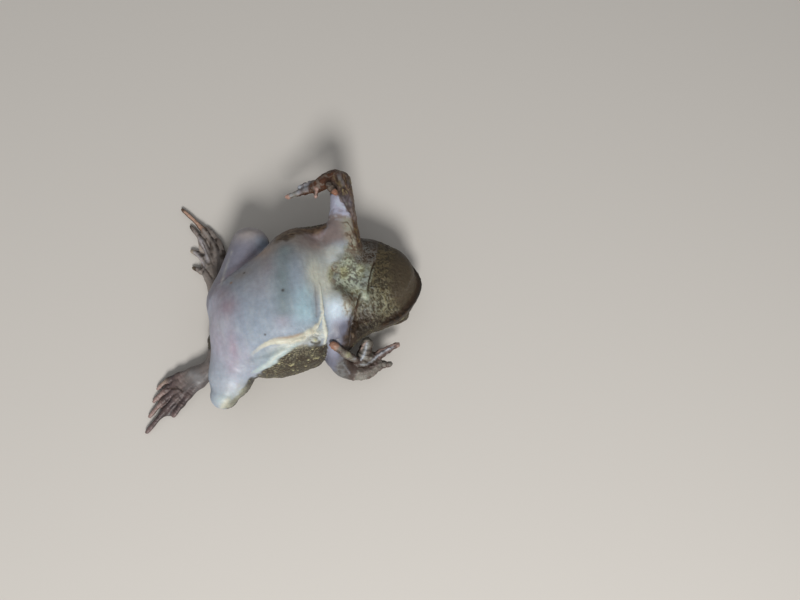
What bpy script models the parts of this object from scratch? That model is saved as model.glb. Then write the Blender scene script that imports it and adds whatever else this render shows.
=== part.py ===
"""A narrow-mouthed frog lying on its back, life size, as a still museum model.

Frame: +X runs from the vent to the snout, +Y to the frog's right side, +Z up, which is the
belly side because the frog rests on its back.  Sizes are in millimetres and become metres in
metres().  Each body part is a closed solid of its own, cut back from the part that carries it.
"""
import math

import bmesh
import bpy
import numpy as np

MM = 0.001
GAP = 0.3                      # clearance between touching parts
CENTRE = (-4.70, 5.53)           # middle of the whole model, moved to the origin

# ---- driving dimensions -------------------------------------------------------------------
# Body sections from the rump to the snout, along a middle line that bends in plan:
# x, y, half width, belly height, back height, height of the widest line
BODY = [
    (-19.2, -2.6, 6.8, 14.4, 4.0, 8.8),
    (-15.6, -2.8, 9.2, 17.0, 2.0, 9.0),
    (-11.5, -2.6, 11.2, 19.2, 0.5, 9.0),
    (-6.5, -1.7, 13.2, 20.8, -0.4, 9.0),
    (-2.0, 0.0, 14.7, 21.2, -0.8, 9.0),
    (2.0, 1.2, 14.8, 20.2, -0.8, 8.8),
    (5.5, 2.5, 12.5, 17.2, -0.5, 8.4),
    (8.8, 2.6, 10.8, 14.8, -0.2, 8.0),
    (12.5, 1.9, 10.6, 13.6, 0.3, 7.4),
    (15.5, 1.2, 10.5, 13.2, 0.5, 7.0),
    (18.0, 0.7, 10.1, 12.2, 0.6, 6.6),
    (20.9, 0.1, 9.0, 11.5, 0.8, 6.3),
    (23.5, -0.2, 7.7, 11.1, 1.2, 6.2),
    (27.6, -0.9, 5.5, 10.4, 2.0, 6.2),
]
BODY_SIDES = 32
BODY_RINGS = 30
SNOUT_CAP = 6.0                # length over which the snout rounds off
RUMP_CAP = 4.5                 # length over which the rump rounds off
BACK_SQUARENESS = 2.6          # superellipse power of the back, which the floor flattens
BELLY_SQUARENESS = 2.1

# Folds of loose skin, as stations: x, y, z, half width, half depth
FLANK_FOLD = [                 # from the left armpit along the flank to the groin
    (4.6, -4.2, 16.2, 0.5, 0.5),
    (3.2, -8.6, 15.2, 1.0, 0.8),
    (-1.0, -10.2, 17.2, 1.1, 0.8),
    (-6.0, -11.2, 17.2, 0.9, 0.7),
    (-11.0, -11.4, 15.6, 0.5, 0.5),
]
RIGHT_FOLD = [                 # between the right flank and the raised arm
    (-1.0, 12.4, 10.6, 1.6, 2.2),
    (3.3, 12.8, 11.6, 2.1, 2.4),
    (7.2, 12.9, 12.2, 2.1, 2.3),
    (10.6, 13.2, 12.4, 1.8, 2.0),
]
LEFT_FOLD = [                  # from the jaw down behind the left arm
    (15.8, -6.3, 7.2, 1.6, 2.4),
    (12.8, -7.8, 7.4, 1.9, 2.8),
    (10.2, -9.0, 8.2, 1.9, 2.8),
    (7.6, -10.8, 8.2, 1.7, 2.6),
]

# Neck cut, along the fold of skin behind the jaw, which runs forward on the frog's right
NECK_POINT = (15.4, 0.4)
NECK_TURN = math.radians(-28.0)

# The head's own axis passes through the snout and leans to the frog's left
HEAD_TURN = math.radians(-12.0)
SNOUT = (27.6, -1.3)
NECK_START, NECK_END = 0.45, 0.8   # shares of the length over which the sections turn with it

# Mouth: a groove round the rim of the head, with a lip along the upper jaw
MOUTH_Z = 6.4
MOUTH_ROLL = 0.2               # how much lower the mouth is for each millimetre to the right
MOUTH_WIDTH = 0.4
MOUTH_DEPTH = 0.8
MOUTH_LENGTH = 9.0             # from the snout back to the jaw corner, along the head
LIP_HEIGHT = 1.1               # the lip of the upper jaw, from the groove's middle down
LIP_STANDS_OUT = 0.35

# Eyes: distances back from the snout, out from the head's axis and up from the floor
EYE_BACK = 5.6
EYE_SIDE = 5.7
EYE_Z = 2.8
EYE_R = 1.9
LID_R = 2.45
EYE_AIM = (0.1, 0.55, -0.3)    # how far the ball stands out of its lid

NOSTRIL_BACK = 1.7
NOSTRIL_SIDE = 1.6
NOSTRIL_Z = 3.6
NOSTRIL_R = 0.4

# Limbs.  A station is (x, y, z, half width, half depth).
THIGH = {
    "right": [(-13.8, 3.0, 9.4, 5.0, 4.4), (-10.7, 9.2, 9.0, 4.4, 4.2), (-7.8, 15.1, 8.6, 4.1, 3.8)],
    "left": [(-13.2, -4.0, 9.6, 5.6, 4.8), (-15.3, -9.2, 9.0, 5.1, 4.5), (-17.4, -13.5, 8.5, 4.4, 4.0),
             (-18.8, -15.9, 8.4, 2.9, 2.9)],
}
SHANK = {
    "right": [(-8.4, 15.4, 2.5, 3.0, 2.0), (-12.6, 9.8, 2.1, 3.1, 2.2), (-16.6, 4.2, 2.2, 2.3, 2.0)],
    "left": [(-18.2, -14.4, 2.5, 3.0, 2.0), (-18.6, -8.8, 2.1, 3.1, 2.2), (-19.0, -2.8, 2.2, 2.3, 2.0)],
}
TARSUS = {
    "right": [(-17.6, 4.6, 2.2, 2.0, 1.9), (-17.5, 8.6, 1.9, 1.9, 1.8), (-17.2, 12.4, 1.6, 2.4, 1.6)],
    "left": [(-19.0, -4.4, 2.2, 2.0, 1.9), (-21.3, -8.2, 2.0, 2.0, 1.8), (-24.8, -9.8, 1.6, 2.4, 1.6)],
}
UPPER_ARM = {
    "right": [(9.6, 6.2, 11.6, 5.2, 4.0), (11.5, 11.2, 12.2, 4.3, 3.4), (12.8, 15.2, 12.6, 3.0, 2.7)],
    "left": [(7.4, -3.6, 13.9, 3.3, 2.9), (6.4, -7.4, 12.9, 2.9, 2.7), (5.7, -10.6, 10.8, 2.5, 2.5),
             (5.0, -13.0, 7.8, 2.3, 2.3)],
}
FOREARM = {
    "right": [(12.9, 15.8, 12.7, 2.9, 2.6), (13.7, 19.8, 13.0, 2.6, 2.4), (14.2, 24.1, 13.2, 2.4, 2.1)],
    "left": [(5.2, -13.4, 7.0, 2.3, 2.3), (6.2, -15.2, 5.2, 2.3, 2.1), (7.7, -16.2, 4.3, 2.2, 1.8)],
}
PALM = {
    "right": [(13.0, 25.0, 13.0, 2.0, 1.9), (10.6, 24.8, 12.3, 1.6, 1.9), (8.8, 24.5, 11.3, 1.35, 1.6)],
    "left": [(8.4, -16.4, 3.9, 2.3, 1.7), (10.8, -16.2, 4.0, 2.8, 1.5), (13.0, -15.6, 4.2, 2.4, 1.2)],
}
# Fingers and toes from the first on: places from root to tip, each with the radius there
FINGERS = {
    "right": [
        [(11.6, 23.6, 13.8, 0.9), (11.5, 21.9, 15.3, 0.8), (12.5, 19.6, 16.2, 0.7)],
        [(9.0, 24.4, 12.0, 0.7), (8.7, 23.2, 12.2, 0.55), (8.1, 21.7, 11.6, 0.42)],
        [(8.8, 24.3, 11.3, 0.95), (5.2, 24.4, 10.2, 0.75), (1.7, 24.4, 9.0, 0.55)],
        [(9.0, 25.6, 10.8, 0.9), (6.9, 25.8, 10.2, 0.75), (4.8, 25.8, 9.6, 0.6)],
    ],
    "left": [
        [(9.9, -15.0, 4.8, 0.85), (7.8, -14.2, 9.8, 0.62), (6.1, -13.0, 12.8, 0.55), (4.4, -11.3, 14.2, 0.55)],
        [(10.6, -14.6, 4.6, 1.6), (11.6, -12.9, 5.6, 1.45), (12.8, -10.7, 7.1, 1.2)],
        [(12.8, -14.9, 4.4, 1.25), (16.2, -13.8, 4.4, 0.85), (19.7, -12.8, 4.0, 0.62)],
        [(12.8, -16.3, 3.9, 1.15), (15.2, -16.6, 3.7, 0.82), (17.1, -16.9, 3.5, 0.62)],
    ],
}
SOLE = {
    "right": [(-17.2, 12.0, 1.5, 2.3, 1.3), (-17.3, 14.6, 1.2, 2.5, 0.85), (-17.4, 16.8, 0.9, 2.5, 0.45)],
    "left": [(-25.2, -9.8, 1.5, 2.5, 1.3), (-27.6, -11.0, 1.2, 2.7, 0.85), (-29.6, -12.2, 0.9, 2.6, 0.45)],
}
TOES = {
    "right": [
        [(-17.8, 11.0, 1.7, 0.75), (-19.1, 12.8, 1.4, 0.75),
         (-20.6, 14.3, 0.9, 0.66), (-22.1, 15.6, 0.42, 0.46)],
        [(-17.6, 11.6, 1.8, 0.75), (-18.5, 15.4, 1.4, 0.75),
         (-20.2, 18.1, 0.9, 0.68), (-21.8, 19.7, 0.46, 0.5)],
        [(-17.2, 11.9, 1.9, 0.75), (-17.7, 17.2, 1.4, 0.78),
         (-19.0, 21.6, 0.9, 0.68), (-20.9, 25.8, 0.42, 0.46)],
        [(-16.8, 11.8, 1.9, 0.75), (-16.1, 18.0, 1.5, 0.78),
         (-18.3, 24.2, 0.9, 0.64), (-22.2, 30.4, 0.42, 0.46)],
        [(-16.4, 11.5, 1.8, 0.75), (-14.7, 16.5, 1.4, 0.75),
         (-15.4, 20.9, 0.9, 0.6), (-17.4, 24.8, 0.4, 0.44)],
    ],
    "left": [
        [(-25.6, -8.3, 1.7, 0.75), (-29.0, -8.6, 1.4, 0.75),
         (-31.8, -9.2, 0.9, 0.58), (-33.8, -10.4, 0.4, 0.42)],
        [(-25.6, -9.0, 1.8, 0.75), (-29.5, -10.0, 1.4, 0.75),
         (-32.6, -11.3, 0.9, 0.6), (-35.0, -12.9, 0.4, 0.44)],
        [(-25.4, -9.8, 1.9, 0.75), (-29.9, -11.6, 1.4, 0.75),
         (-33.2, -13.5, 0.9, 0.62), (-36.3, -15.9, 0.4, 0.44)],
        [(-25.2, -10.6, 1.9, 0.75), (-29.5, -13.1, 1.5, 0.78),
         (-33.2, -15.7, 0.9, 0.66), (-37.3, -19.0, 0.46, 0.5)],
        [(-24.9, -11.3, 1.8, 0.75), (-28.2, -14.1, 1.4, 0.75),
         (-30.2, -15.8, 0.9, 0.6), (-31.4, -17.0, 0.4, 0.44)],
    ],
}
TOE_WEB = (0.7, 0.72, 0.76, 0.7, 0.92)   # share of each toe's length that the web reaches
WEB_DIP = 0.25                 # how far the web's edge dips back between two toes, as a share
WEB_LOW, WEB_HIGH = 0.1, 0.7   # heights of the web's two faces

# ---- small tools --------------------------------------------------------------------------


def metres(points):
    """Model millimetres to metres, with the middle of the model at x = y = 0."""
    points = np.asarray(points, float).copy()
    points[:, 0] -= CENTRE[0]
    points[:, 1] -= CENTRE[1]
    return points * MM


def material(name, colour, roughness):
    made = bpy.data.materials.new(name)
    made.use_nodes = True
    shader = made.node_tree.nodes["Principled BSDF"]
    shader.inputs["Base Color"].default_value = (*colour, 1.0)
    shader.inputs["Roughness"].default_value = roughness
    shader.inputs["Metallic"].default_value = 0.0
    return made


def solid(name, points, faces, look=None):
    """A mesh object from points in model millimetres, with its faces turned outwards."""
    mesh = bpy.data.meshes.new(name)
    mesh.from_pydata(metres(points).tolist(), [], faces)
    shape = bmesh.new()
    shape.from_mesh(mesh)
    bmesh.ops.recalc_face_normals(shape, faces=shape.faces)
    shape.to_mesh(mesh)
    shape.free()
    made = bpy.data.objects.new(name, mesh)
    bpy.context.scene.collection.objects.link(made)
    if look:
        mesh.materials.append(look)
    return made


def smooth_rows(rows, count):
    """Catmull-Rom rows through a table of stations."""
    rows = np.asarray(rows, float)
    padded = np.vstack([2 * rows[0] - rows[1], rows, 2 * rows[-1] - rows[-2]])
    out = []
    for step in np.linspace(0, len(rows) - 1, count):
        i = min(int(step), len(rows) - 2)
        t = step - i
        a, b, c, d = padded[i:i + 4]
        out.append(0.5 * (2 * b + (c - a) * t + (2 * a - 5 * b + 4 * c - d) * t ** 2
                          + (3 * b - a - 3 * c + d) * t ** 3))
    return np.array(out)


def close_rings(rings):
    """Points and faces of a closed skin over rings, each an array of points, with end poles."""
    count, sides = len(rings), len(rings[0])
    points = np.vstack([*rings, rings[0].mean(0), rings[-1].mean(0)])
    faces = []
    for i in range(count - 1):
        for j in range(sides):
            k = (j + 1) % sides
            near, beside = i * sides + j, i * sides + k
            faces.append((near, beside, beside + sides))
            faces.append((near, beside + sides, near + sides))
    start, end, last = count * sides, count * sides + 1, (count - 1) * sides
    for j in range(sides):
        k = (j + 1) % sides
        faces.append((start, k, j))
        faces.append((end, last + j, last + k))
    return points, faces


def on_floor(points):
    """Flattens what would sink below the floor."""
    points = points.copy()
    points[:, 2] = np.maximum(points[:, 2], 0.0)
    return points


def tube(name, stations, sides=12, rings=8, caps=3, grow=0.0, look=None, up=(0, 0, 1)):
    """A rounded limb through (x, y, z, half width, half depth) stations; grow adds to its size."""
    rows = smooth_rows(stations, rings)
    path, half = rows[:, :3], rows[:, 3:] + grow
    along = np.gradient(path, axis=0)
    along /= np.linalg.norm(along, axis=1, keepdims=True)
    side = np.cross(along, np.asarray(up, float))
    side /= np.linalg.norm(side, axis=1, keepdims=True)
    depth = np.cross(side, along)
    turns = np.arange(sides) * 2 * math.pi / sides

    def ring(i, share, shift):
        centre = path[i] + along[i] * shift
        across = np.outer(np.cos(turns), side[i]) * half[i, 0]
        return centre + share * (across + np.outer(np.sin(turns), depth[i]) * half[i, 1])

    bends = [math.pi / 2 * (k + 0.5) / (caps + 0.5) for k in range(caps)]
    reach_in, reach_out = half[0].min(), half[-1].min()
    loops = [ring(0, math.sin(b), -reach_in * math.cos(b)) for b in bends]
    loops += [ring(i, 1.0, 0.0) for i in range(rings)]
    loops += [ring(rings - 1, math.sin(b), reach_out * math.cos(b)) for b in reversed(bends)]
    points, faces = close_rings(loops)
    points[-2] = path[0] - along[0] * reach_in
    points[-1] = path[-1] + along[-1] * reach_out
    return solid(name, on_floor(points), faces, look)


def body(name, grow=0.0, look=None):
    """Head and trunk as one form, from the rump to the snout."""
    fine = smooth_rows(BODY, 300)
    steps = np.linalg.norm(np.diff(fine[:, :2], axis=0), axis=1)
    travel = np.concatenate([[0.0], np.cumsum(steps)])
    length = travel[-1]
    span = np.linspace(0, math.pi, BODY_RINGS + 2)[1:-1]
    turns = np.arange(BODY_SIDES) * 2 * math.pi / BODY_SIDES
    cosines, sines = np.cos(turns), np.sin(turns)
    power = np.where(sines > 0, 2 / BELLY_SQUARENESS, 2 / BACK_SQUARENESS)
    across = np.sign(cosines) * np.abs(cosines) ** power
    rise = np.sign(sines) * np.abs(sines) ** power
    loops = []
    for along in length / 2 - np.cos(span) * (length / 2 + grow):
        x, y, wide, belly, back, level = (np.interp(along, travel, fine[:, k]) for k in range(6))
        bend = min(max((along / length - NECK_START) / (NECK_END - NECK_START), 0.0), 1.0)
        heading = HEAD_TURN * bend * bend * (3 - 2 * bend)
        ahead = np.array([math.cos(heading), math.sin(heading)])
        overrun = along - min(max(along, 0.0), length)
        close, tip_z = 1.0, level
        if along > length - SNOUT_CAP:
            close = math.sqrt(max(0.0, 1 - ((along - length + SNOUT_CAP) / (SNOUT_CAP + grow)) ** 2))
            tip_z = BODY[-1][5]
        if along < RUMP_CAP:
            close = math.sqrt(max(0.0, 1 - ((RUMP_CAP - along) / (RUMP_CAP + grow)) ** 2))
            tip_z = BODY[0][5]
        level = tip_z + (level - tip_z) * close
        offset = (wide + grow) * close * across
        reach = np.where(sines > 0, belly - level + grow, level - back + grow) * close
        loops.append(np.stack([x + ahead[0] * overrun - ahead[1] * offset,
                               y + ahead[1] * overrun + ahead[0] * offset, level + reach * rise], 1))
    points, faces = close_rings(loops)
    return solid(name, on_floor(points), faces, look)


def on_head(back, side, z):
    """A place given in the head's own frame: back from the snout, out to the right, and up."""
    c, s = math.cos(HEAD_TURN), math.sin(HEAD_TURN)
    return np.array([SNOUT[0] - back * c - side * s, SNOUT[1] - back * s + side * c, z])


def ball(name, centre, radius, look=None, rings=8, sides=16):
    """A sphere whose poles lie along Z."""
    loops = []
    for i in range(1, rings):
        a = math.pi * i / rings
        turns = np.arange(sides) * 2 * math.pi / sides
        loop = np.stack([np.cos(turns) * math.sin(a), np.sin(turns) * math.sin(a),
                         np.full(sides, -math.cos(a))], 1)
        loops.append(np.asarray(centre) + radius * loop)
    points, faces = close_rings(loops)
    points[-2] = np.asarray(centre) - (0, 0, radius)
    points[-1] = np.asarray(centre) + (0, 0, radius)
    return solid(name, points, faces, look)


def slab(name, point, turn, size, roll=0.0):
    """A thin box across the body at point, turned about Z: size is (thick, wide, high).

    Roll is how much lower it is for each millimetre to the right.
    """
    corners = np.array([(i, j, k) for i in (-0.5, 0.5) for j in (-0.5, 0.5) for k in (-0.5, 0.5)])
    corners = corners * size
    corners[:, 2] -= roll * corners[:, 1]
    c, s = math.cos(turn), math.sin(turn)
    turned = np.stack([corners[:, 0] * c - corners[:, 1] * s,
                       corners[:, 0] * s + corners[:, 1] * c, corners[:, 2]], 1)
    faces = [(0, 1, 3, 2), (4, 6, 7, 5), (0, 4, 5, 1), (2, 3, 7, 6), (0, 2, 6, 4), (1, 5, 7, 3)]
    return solid(name, turned + np.array(point), faces)


def combine(target, others, operation, solver="EXACT"):
    """Applies one Boolean of the others on the target, then removes the others."""
    group = bpy.data.collections.new("cutters")
    for other in others:
        group.objects.link(other)
    change = target.modifiers.new(operation.lower(), "BOOLEAN")
    change.operation = operation
    change.operand_type = "COLLECTION"
    change.collection = group
    change.solver = solver
    graph = bpy.context.evaluated_depsgraph_get()
    graph.update()
    shaped = bpy.data.meshes.new_from_object(target.evaluated_get(graph))
    target.modifiers.clear()
    target.data = shaped
    for other in others:
        bpy.data.objects.remove(other)
    bpy.data.collections.remove(group)
    keep_largest(target)
    return target


def keep_largest(target):
    """Leaves only the closed surface of greatest volume."""
    shape = bmesh.new()
    shape.from_mesh(target.data)
    bmesh.ops.triangulate(shape, faces=shape.faces)
    left, groups = set(shape.faces), []
    while left:
        stack, group = [left.pop()], []
        while stack:
            face = stack.pop()
            group.append(face)
            for edge in face.edges:
                for near in edge.link_faces:
                    if near in left:
                        left.discard(near)
                        stack.append(near)
        groups.append(group)

    def volume(group):
        return sum(f.verts[0].co.dot(f.verts[1].co.cross(f.verts[2].co)) for f in group) / 6

    groups.sort(key=volume, reverse=True)
    loose = [face for group in groups[1:] for face in group]
    bmesh.ops.delete(shape, geom=loose, context="FACES")
    shape.to_mesh(target.data)
    shape.free()


# ---- the frog -----------------------------------------------------------------------------


def flank_fold(grow=0.0):
    return tube("flank_fold", FLANK_FOLD, sides=8, rings=12, caps=2, grow=grow)


def arm_fold(word, grow=0.0):
    """The loose skin beside one arm."""
    table = {"right": RIGHT_FOLD, "left": LEFT_FOLD}
    return tube("arm_fold", table[word], rings=7, grow=grow)


def make_head_and_torso(looks):
    """The head and the trunk, parted by a thin cut along the fold behind the jaw."""
    head = body("head", look=looks["dark"])
    torso = body("torso", look=looks["belly"])
    turn, reach = NECK_TURN, 60.0
    ahead = np.array([math.cos(turn), math.sin(turn), 0.0])
    middle = np.array([*NECK_POINT, 10.0])
    behind = slab("behind", middle - ahead * (reach / 2 - GAP / 2), turn, (reach, 80, reach))
    before = slab("before", middle + ahead * (reach / 2 - GAP / 2), turn, (reach, 80, reach))
    lids = [ball("lid", on_head(EYE_BACK, side * EYE_SIDE, EYE_Z), LID_R) for side in (1, -1)]
    combine(head, [*lids, arm_fold("left")], "UNION")
    combine(torso, [flank_fold(), arm_fold("right"), arm_fold("left")], "UNION")
    combine(head, [behind], "DIFFERENCE")
    combine(torso, [before], "DIFFERENCE")
    return head, torso


def make_mouth(head):
    """A lip along the upper jaw, then the groove of the closed mouth above it.

    The groove is a flat slab that leaves the inside of the head whole.
    """
    lip = slab("lip", on_head(0, 0, MOUTH_Z - LIP_HEIGHT / 2), HEAD_TURN,
               (2 * MOUTH_LENGTH, 60, LIP_HEIGHT), MOUTH_ROLL)
    combine(lip, [body("around", grow=LIP_STANDS_OUT)], "INTERSECT")
    combine(head, [lip], "UNION")
    rim = slab("rim", on_head(0, 0, MOUTH_Z), HEAD_TURN, (2 * MOUTH_LENGTH, 60, MOUTH_WIDTH), MOUTH_ROLL)
    core = body("core", grow=-MOUTH_DEPTH)
    combine(rim, [core], "DIFFERENCE")
    combine(head, [rim], "DIFFERENCE")


def make_eyes(head, looks):
    """Each eye is a ball in a socket that its lid rings."""
    sockets = []
    for side, word in ((1, "right"), (-1, "left")):
        centre = on_head(EYE_BACK - EYE_AIM[0], side * (EYE_SIDE + EYE_AIM[1]), EYE_Z + EYE_AIM[2])
        ball("eye_" + word, centre, EYE_R, looks["eye"])
        sockets.append(ball("socket", centre, EYE_R + GAP))
    combine(head, sockets, "DIFFERENCE")


def cut_nostrils(head):
    pits = []
    for side in (1, -1):
        centre = on_head(NOSTRIL_BACK, side * NOSTRIL_SIDE, NOSTRIL_Z)
        pits.append(ball("pit", centre, NOSTRIL_R, rings=6, sides=8))
    combine(head, pits, "DIFFERENCE")


def digit(name, places):
    """A finger or toe through its places, whose round end reaches the last of them."""
    rows = np.array(places)
    last = rows[-1, :3] - rows[-2, :3]
    rows[-1, :3] -= last / np.linalg.norm(last) * rows[-1, 3]
    stations = np.column_stack([rows, rows[:, 3]])
    return tube(name, stations, sides=7, rings=7, caps=2)


def along_toe(places, share):
    """The place in plan that lies a share of the way along a toe."""
    rows = smooth_rows(places, 40)
    steps = np.linalg.norm(np.diff(rows[:, :2], axis=0), axis=1)
    travel = np.concatenate([[0.0], np.cumsum(steps)])
    return np.array([np.interp(share * travel[-1], travel, rows[:, k]) for k in range(2)])


def make_web(word):
    """The flat skin between the toes, as a fan from the middle of the sole."""
    middle = np.array(SOLE[word][1][:2])
    reached = [along_toe(places, share) for places, share in zip(TOES[word], TOE_WEB)]
    outline = [middle, reached[0]]
    for last, reach in zip(reached, reached[1:]):
        outline.append((last + reach) / 2 * (1 - WEB_DIP) + middle * WEB_DIP)
        outline.append(reach)
    count = len(outline)
    points = [(*p, WEB_LOW) for p in outline] + [(*p, WEB_HIGH) for p in outline]
    faces = [(0, i + 1, i + 2) for i in range(count - 2)]
    faces += [(count, count + i + 2, count + i + 1) for i in range(count - 2)]
    faces += [(i, (i + 1) % count, count + (i + 1) % count, count + i) for i in range(count)]
    return solid("web", np.array(points), faces)


def make_foot(word, look):
    """Sole, five toes and the web between them."""
    sole = tube("foot_" + word, SOLE[word], rings=5, caps=2, look=look)
    toes = [digit("toe", places) for places in TOES[word]]
    return combine(sole, [*toes, make_web(word)], "UNION")


def make_hand(word, look):
    """Palm and four fingers."""
    palm = tube("hand_" + word, PALM[word], rings=5, caps=2, look=look)
    fingers = [digit("finger", places) for places in FINGERS[word]]
    return combine(palm, fingers, "UNION")


def make_limbs(looks):
    for word in ("right", "left"):
        def trunk():
            return body("trunk", grow=GAP)

        def grown(*tables):
            return [tube("cutter", table[word], grow=GAP) for table in tables]

        def folds():
            return [flank_fold(grow=GAP), arm_fold(word, grow=GAP)]

        thigh = tube("thigh_" + word, THIGH[word], look=looks["belly"])
        combine(thigh, [trunk()], "DIFFERENCE")
        shank = tube("shank_" + word, SHANK[word], look=looks["dark"])
        combine(shank, [trunk(), *grown(THIGH)], "DIFFERENCE")
        tarsus = tube("tarsus_" + word, TARSUS[word], look=looks["dark"])
        combine(tarsus, [trunk(), *grown(THIGH, SHANK)], "DIFFERENCE")
        foot = make_foot(word, looks["dark"])
        combine(foot, grown(THIGH, TARSUS), "DIFFERENCE")
        upper = tube("upper_arm_" + word, UPPER_ARM[word], look=looks["belly"])
        combine(upper, [trunk(), *folds()], "DIFFERENCE")
        fore = tube("forearm_" + word, FOREARM[word], look=looks["belly"])
        combine(fore, [trunk(), *grown(UPPER_ARM), *folds()], "DIFFERENCE")
        hand = make_hand(word, looks["dark"])
        combine(hand, [trunk(), *grown(UPPER_ARM, FOREARM), *folds()], "DIFFERENCE")


def main():
    for old in list(bpy.data.objects):
        bpy.data.objects.remove(old)
    looks = {
        "belly": material("belly_skin", (0.42, 0.43, 0.52), 0.35),
        "dark": material("back_skin", (0.10, 0.085, 0.06), 0.45),
        "eye": material("eye", (0.05, 0.035, 0.02), 0.1),
    }
    head, _ = make_head_and_torso(looks)
    make_mouth(head)
    make_eyes(head, looks)
    cut_nostrils(head)
    make_limbs(looks)
    for made in bpy.context.scene.objects:
        made.data.shade_smooth()
        made.data.set_sharp_from_angle(angle=math.radians(40))


main()
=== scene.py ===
"""Looks of a narrow-mouthed frog lying on its back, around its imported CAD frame.

Model frame, in millimetres: +X to the snout, +Y to the frog's right side, +Z up (its belly side).
The flesh is one field of signed distances, turned into one skin, then sculpted point by point.
"""
import math

import bmesh
import bpy
import numpy as np
import openvdb
from mathutils import Matrix, Vector


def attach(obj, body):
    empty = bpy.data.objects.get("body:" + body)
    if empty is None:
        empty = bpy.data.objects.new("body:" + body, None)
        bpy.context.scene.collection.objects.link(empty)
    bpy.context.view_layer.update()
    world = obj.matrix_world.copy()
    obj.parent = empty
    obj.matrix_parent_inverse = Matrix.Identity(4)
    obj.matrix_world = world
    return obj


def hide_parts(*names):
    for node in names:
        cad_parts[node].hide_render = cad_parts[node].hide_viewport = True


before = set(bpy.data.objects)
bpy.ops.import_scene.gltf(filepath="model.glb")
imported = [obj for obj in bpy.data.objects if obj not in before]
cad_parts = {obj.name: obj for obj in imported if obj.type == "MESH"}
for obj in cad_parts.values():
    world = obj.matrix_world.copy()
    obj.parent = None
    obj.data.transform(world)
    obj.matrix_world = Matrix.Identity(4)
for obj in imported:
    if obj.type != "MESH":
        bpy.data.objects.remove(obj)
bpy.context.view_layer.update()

MM = 0.001
CENTRE = np.array([-4.70, 5.53, 0.0])      # model frame's place of the CAD origin

# ---- the frog's sizes, as in its CAD ---------------------------------------------------------
# Body sections: x, y, half width, belly height, back height, height of the widest line
BODY = [
    (-19.2, -2.6, 6.8, 14.4, 4.0, 8.8),
    (-15.6, -2.8, 9.2, 17.0, 2.0, 9.0),
    (-11.5, -2.6, 11.2, 19.2, 0.5, 9.0),
    (-6.5, -1.7, 13.2, 20.8, -0.4, 9.0),
    (-2.0, 0.0, 14.7, 21.2, -0.8, 9.0),
    (2.0, 1.2, 14.8, 20.2, -0.8, 8.8),
    (5.5, 2.5, 12.5, 17.2, -0.5, 8.4),
    (8.8, 2.6, 10.8, 14.8, -0.2, 8.0),
    (12.5, 1.9, 10.6, 13.6, 0.3, 7.4),
    (15.5, 1.2, 10.5, 13.2, 0.5, 7.0),
    (18.0, 0.7, 10.1, 12.2, 0.6, 6.6),
    (20.9, 0.1, 9.0, 11.5, 0.8, 6.3),
    (23.5, -0.2, 7.7, 11.1, 1.2, 6.2),
    (27.6, -0.9, 5.5, 10.4, 2.0, 6.2),
]
SNOUT_CAP, RUMP_CAP = 6.0, 4.5
BACK_SQUARENESS, BELLY_SQUARENESS = 2.6, 2.1
HEAD_TURN = math.radians(-12.0)
SNOUT = (27.6, -1.3)
NECK_START, NECK_END = 0.45, 0.8
MOUTH_Z, MOUTH_ROLL, MOUTH_LENGTH = 6.4, 0.2, 9.0
JAW_INSET = 1.5

EYE_BACK, EYE_SIDE, EYE_Z = 5.6, 5.7, 2.8
EYE_AIM = (0.1, 0.55, -0.3)
EYE_R, EYE_GAP = 1.9, 0.08
LID_R, LID_BLEND = 2.5, 1.2
NOSTRIL_BACK, NOSTRIL_SIDE, NOSTRIL_Z = 1.7, 1.6, 3.6
NOSTRIL_R, NOSTRIL_BLEND = 0.38, 0.15

# A limb's stations, from its root on: x, y, z, half width, half depth
THIGH = {
    "right": [(-13.8, 3.0, 9.4, 5.0, 4.4), (-10.7, 9.2, 9.0, 4.4, 4.2), (-7.8, 15.1, 8.6, 4.1, 3.8)],
    "left": [(-13.2, -4.0, 9.6, 5.6, 4.8), (-15.3, -9.2, 9.0, 5.1, 4.5), (-17.4, -13.5, 8.5, 4.4, 4.0),
             (-18.8, -15.9, 8.4, 2.9, 2.9)],
}
SHANK = {
    "right": [(-8.4, 15.4, 2.5, 3.0, 2.0), (-12.6, 9.8, 2.1, 3.1, 2.2), (-16.6, 4.2, 2.2, 2.3, 2.0)],
    "left": [(-18.2, -14.4, 2.5, 3.0, 2.0), (-18.6, -8.8, 2.1, 3.1, 2.2), (-19.0, -2.8, 2.2, 2.3, 2.0)],
}
TARSUS = {
    "right": [(-17.6, 4.6, 2.2, 2.0, 1.9), (-17.5, 8.6, 1.9, 1.9, 1.8), (-17.2, 12.4, 1.6, 2.4, 1.6)],
    "left": [(-19.0, -4.4, 2.2, 2.0, 1.9), (-21.3, -8.2, 2.0, 2.0, 1.8), (-24.8, -9.8, 1.6, 2.4, 1.6)],
}
UPPER_ARM = {
    "right": [(9.6, 6.2, 11.6, 5.2, 4.0), (11.5, 11.2, 12.2, 4.3, 3.4), (12.8, 15.2, 12.6, 3.0, 2.7)],
    "left": [(7.4, -3.6, 13.9, 3.3, 2.9), (6.4, -7.4, 12.9, 2.9, 2.7), (5.7, -10.6, 10.8, 2.5, 2.5),
             (5.0, -13.0, 7.8, 2.3, 2.3)],
}
FOREARM = {
    "right": [(12.9, 15.8, 12.7, 2.9, 2.6), (13.7, 19.8, 13.0, 2.6, 2.4), (14.2, 24.1, 13.2, 2.4, 2.1)],
    "left": [(5.2, -13.4, 7.0, 2.3, 2.3), (6.2, -15.2, 5.2, 2.3, 2.1), (7.7, -16.2, 4.3, 2.2, 1.8)],
}
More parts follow.
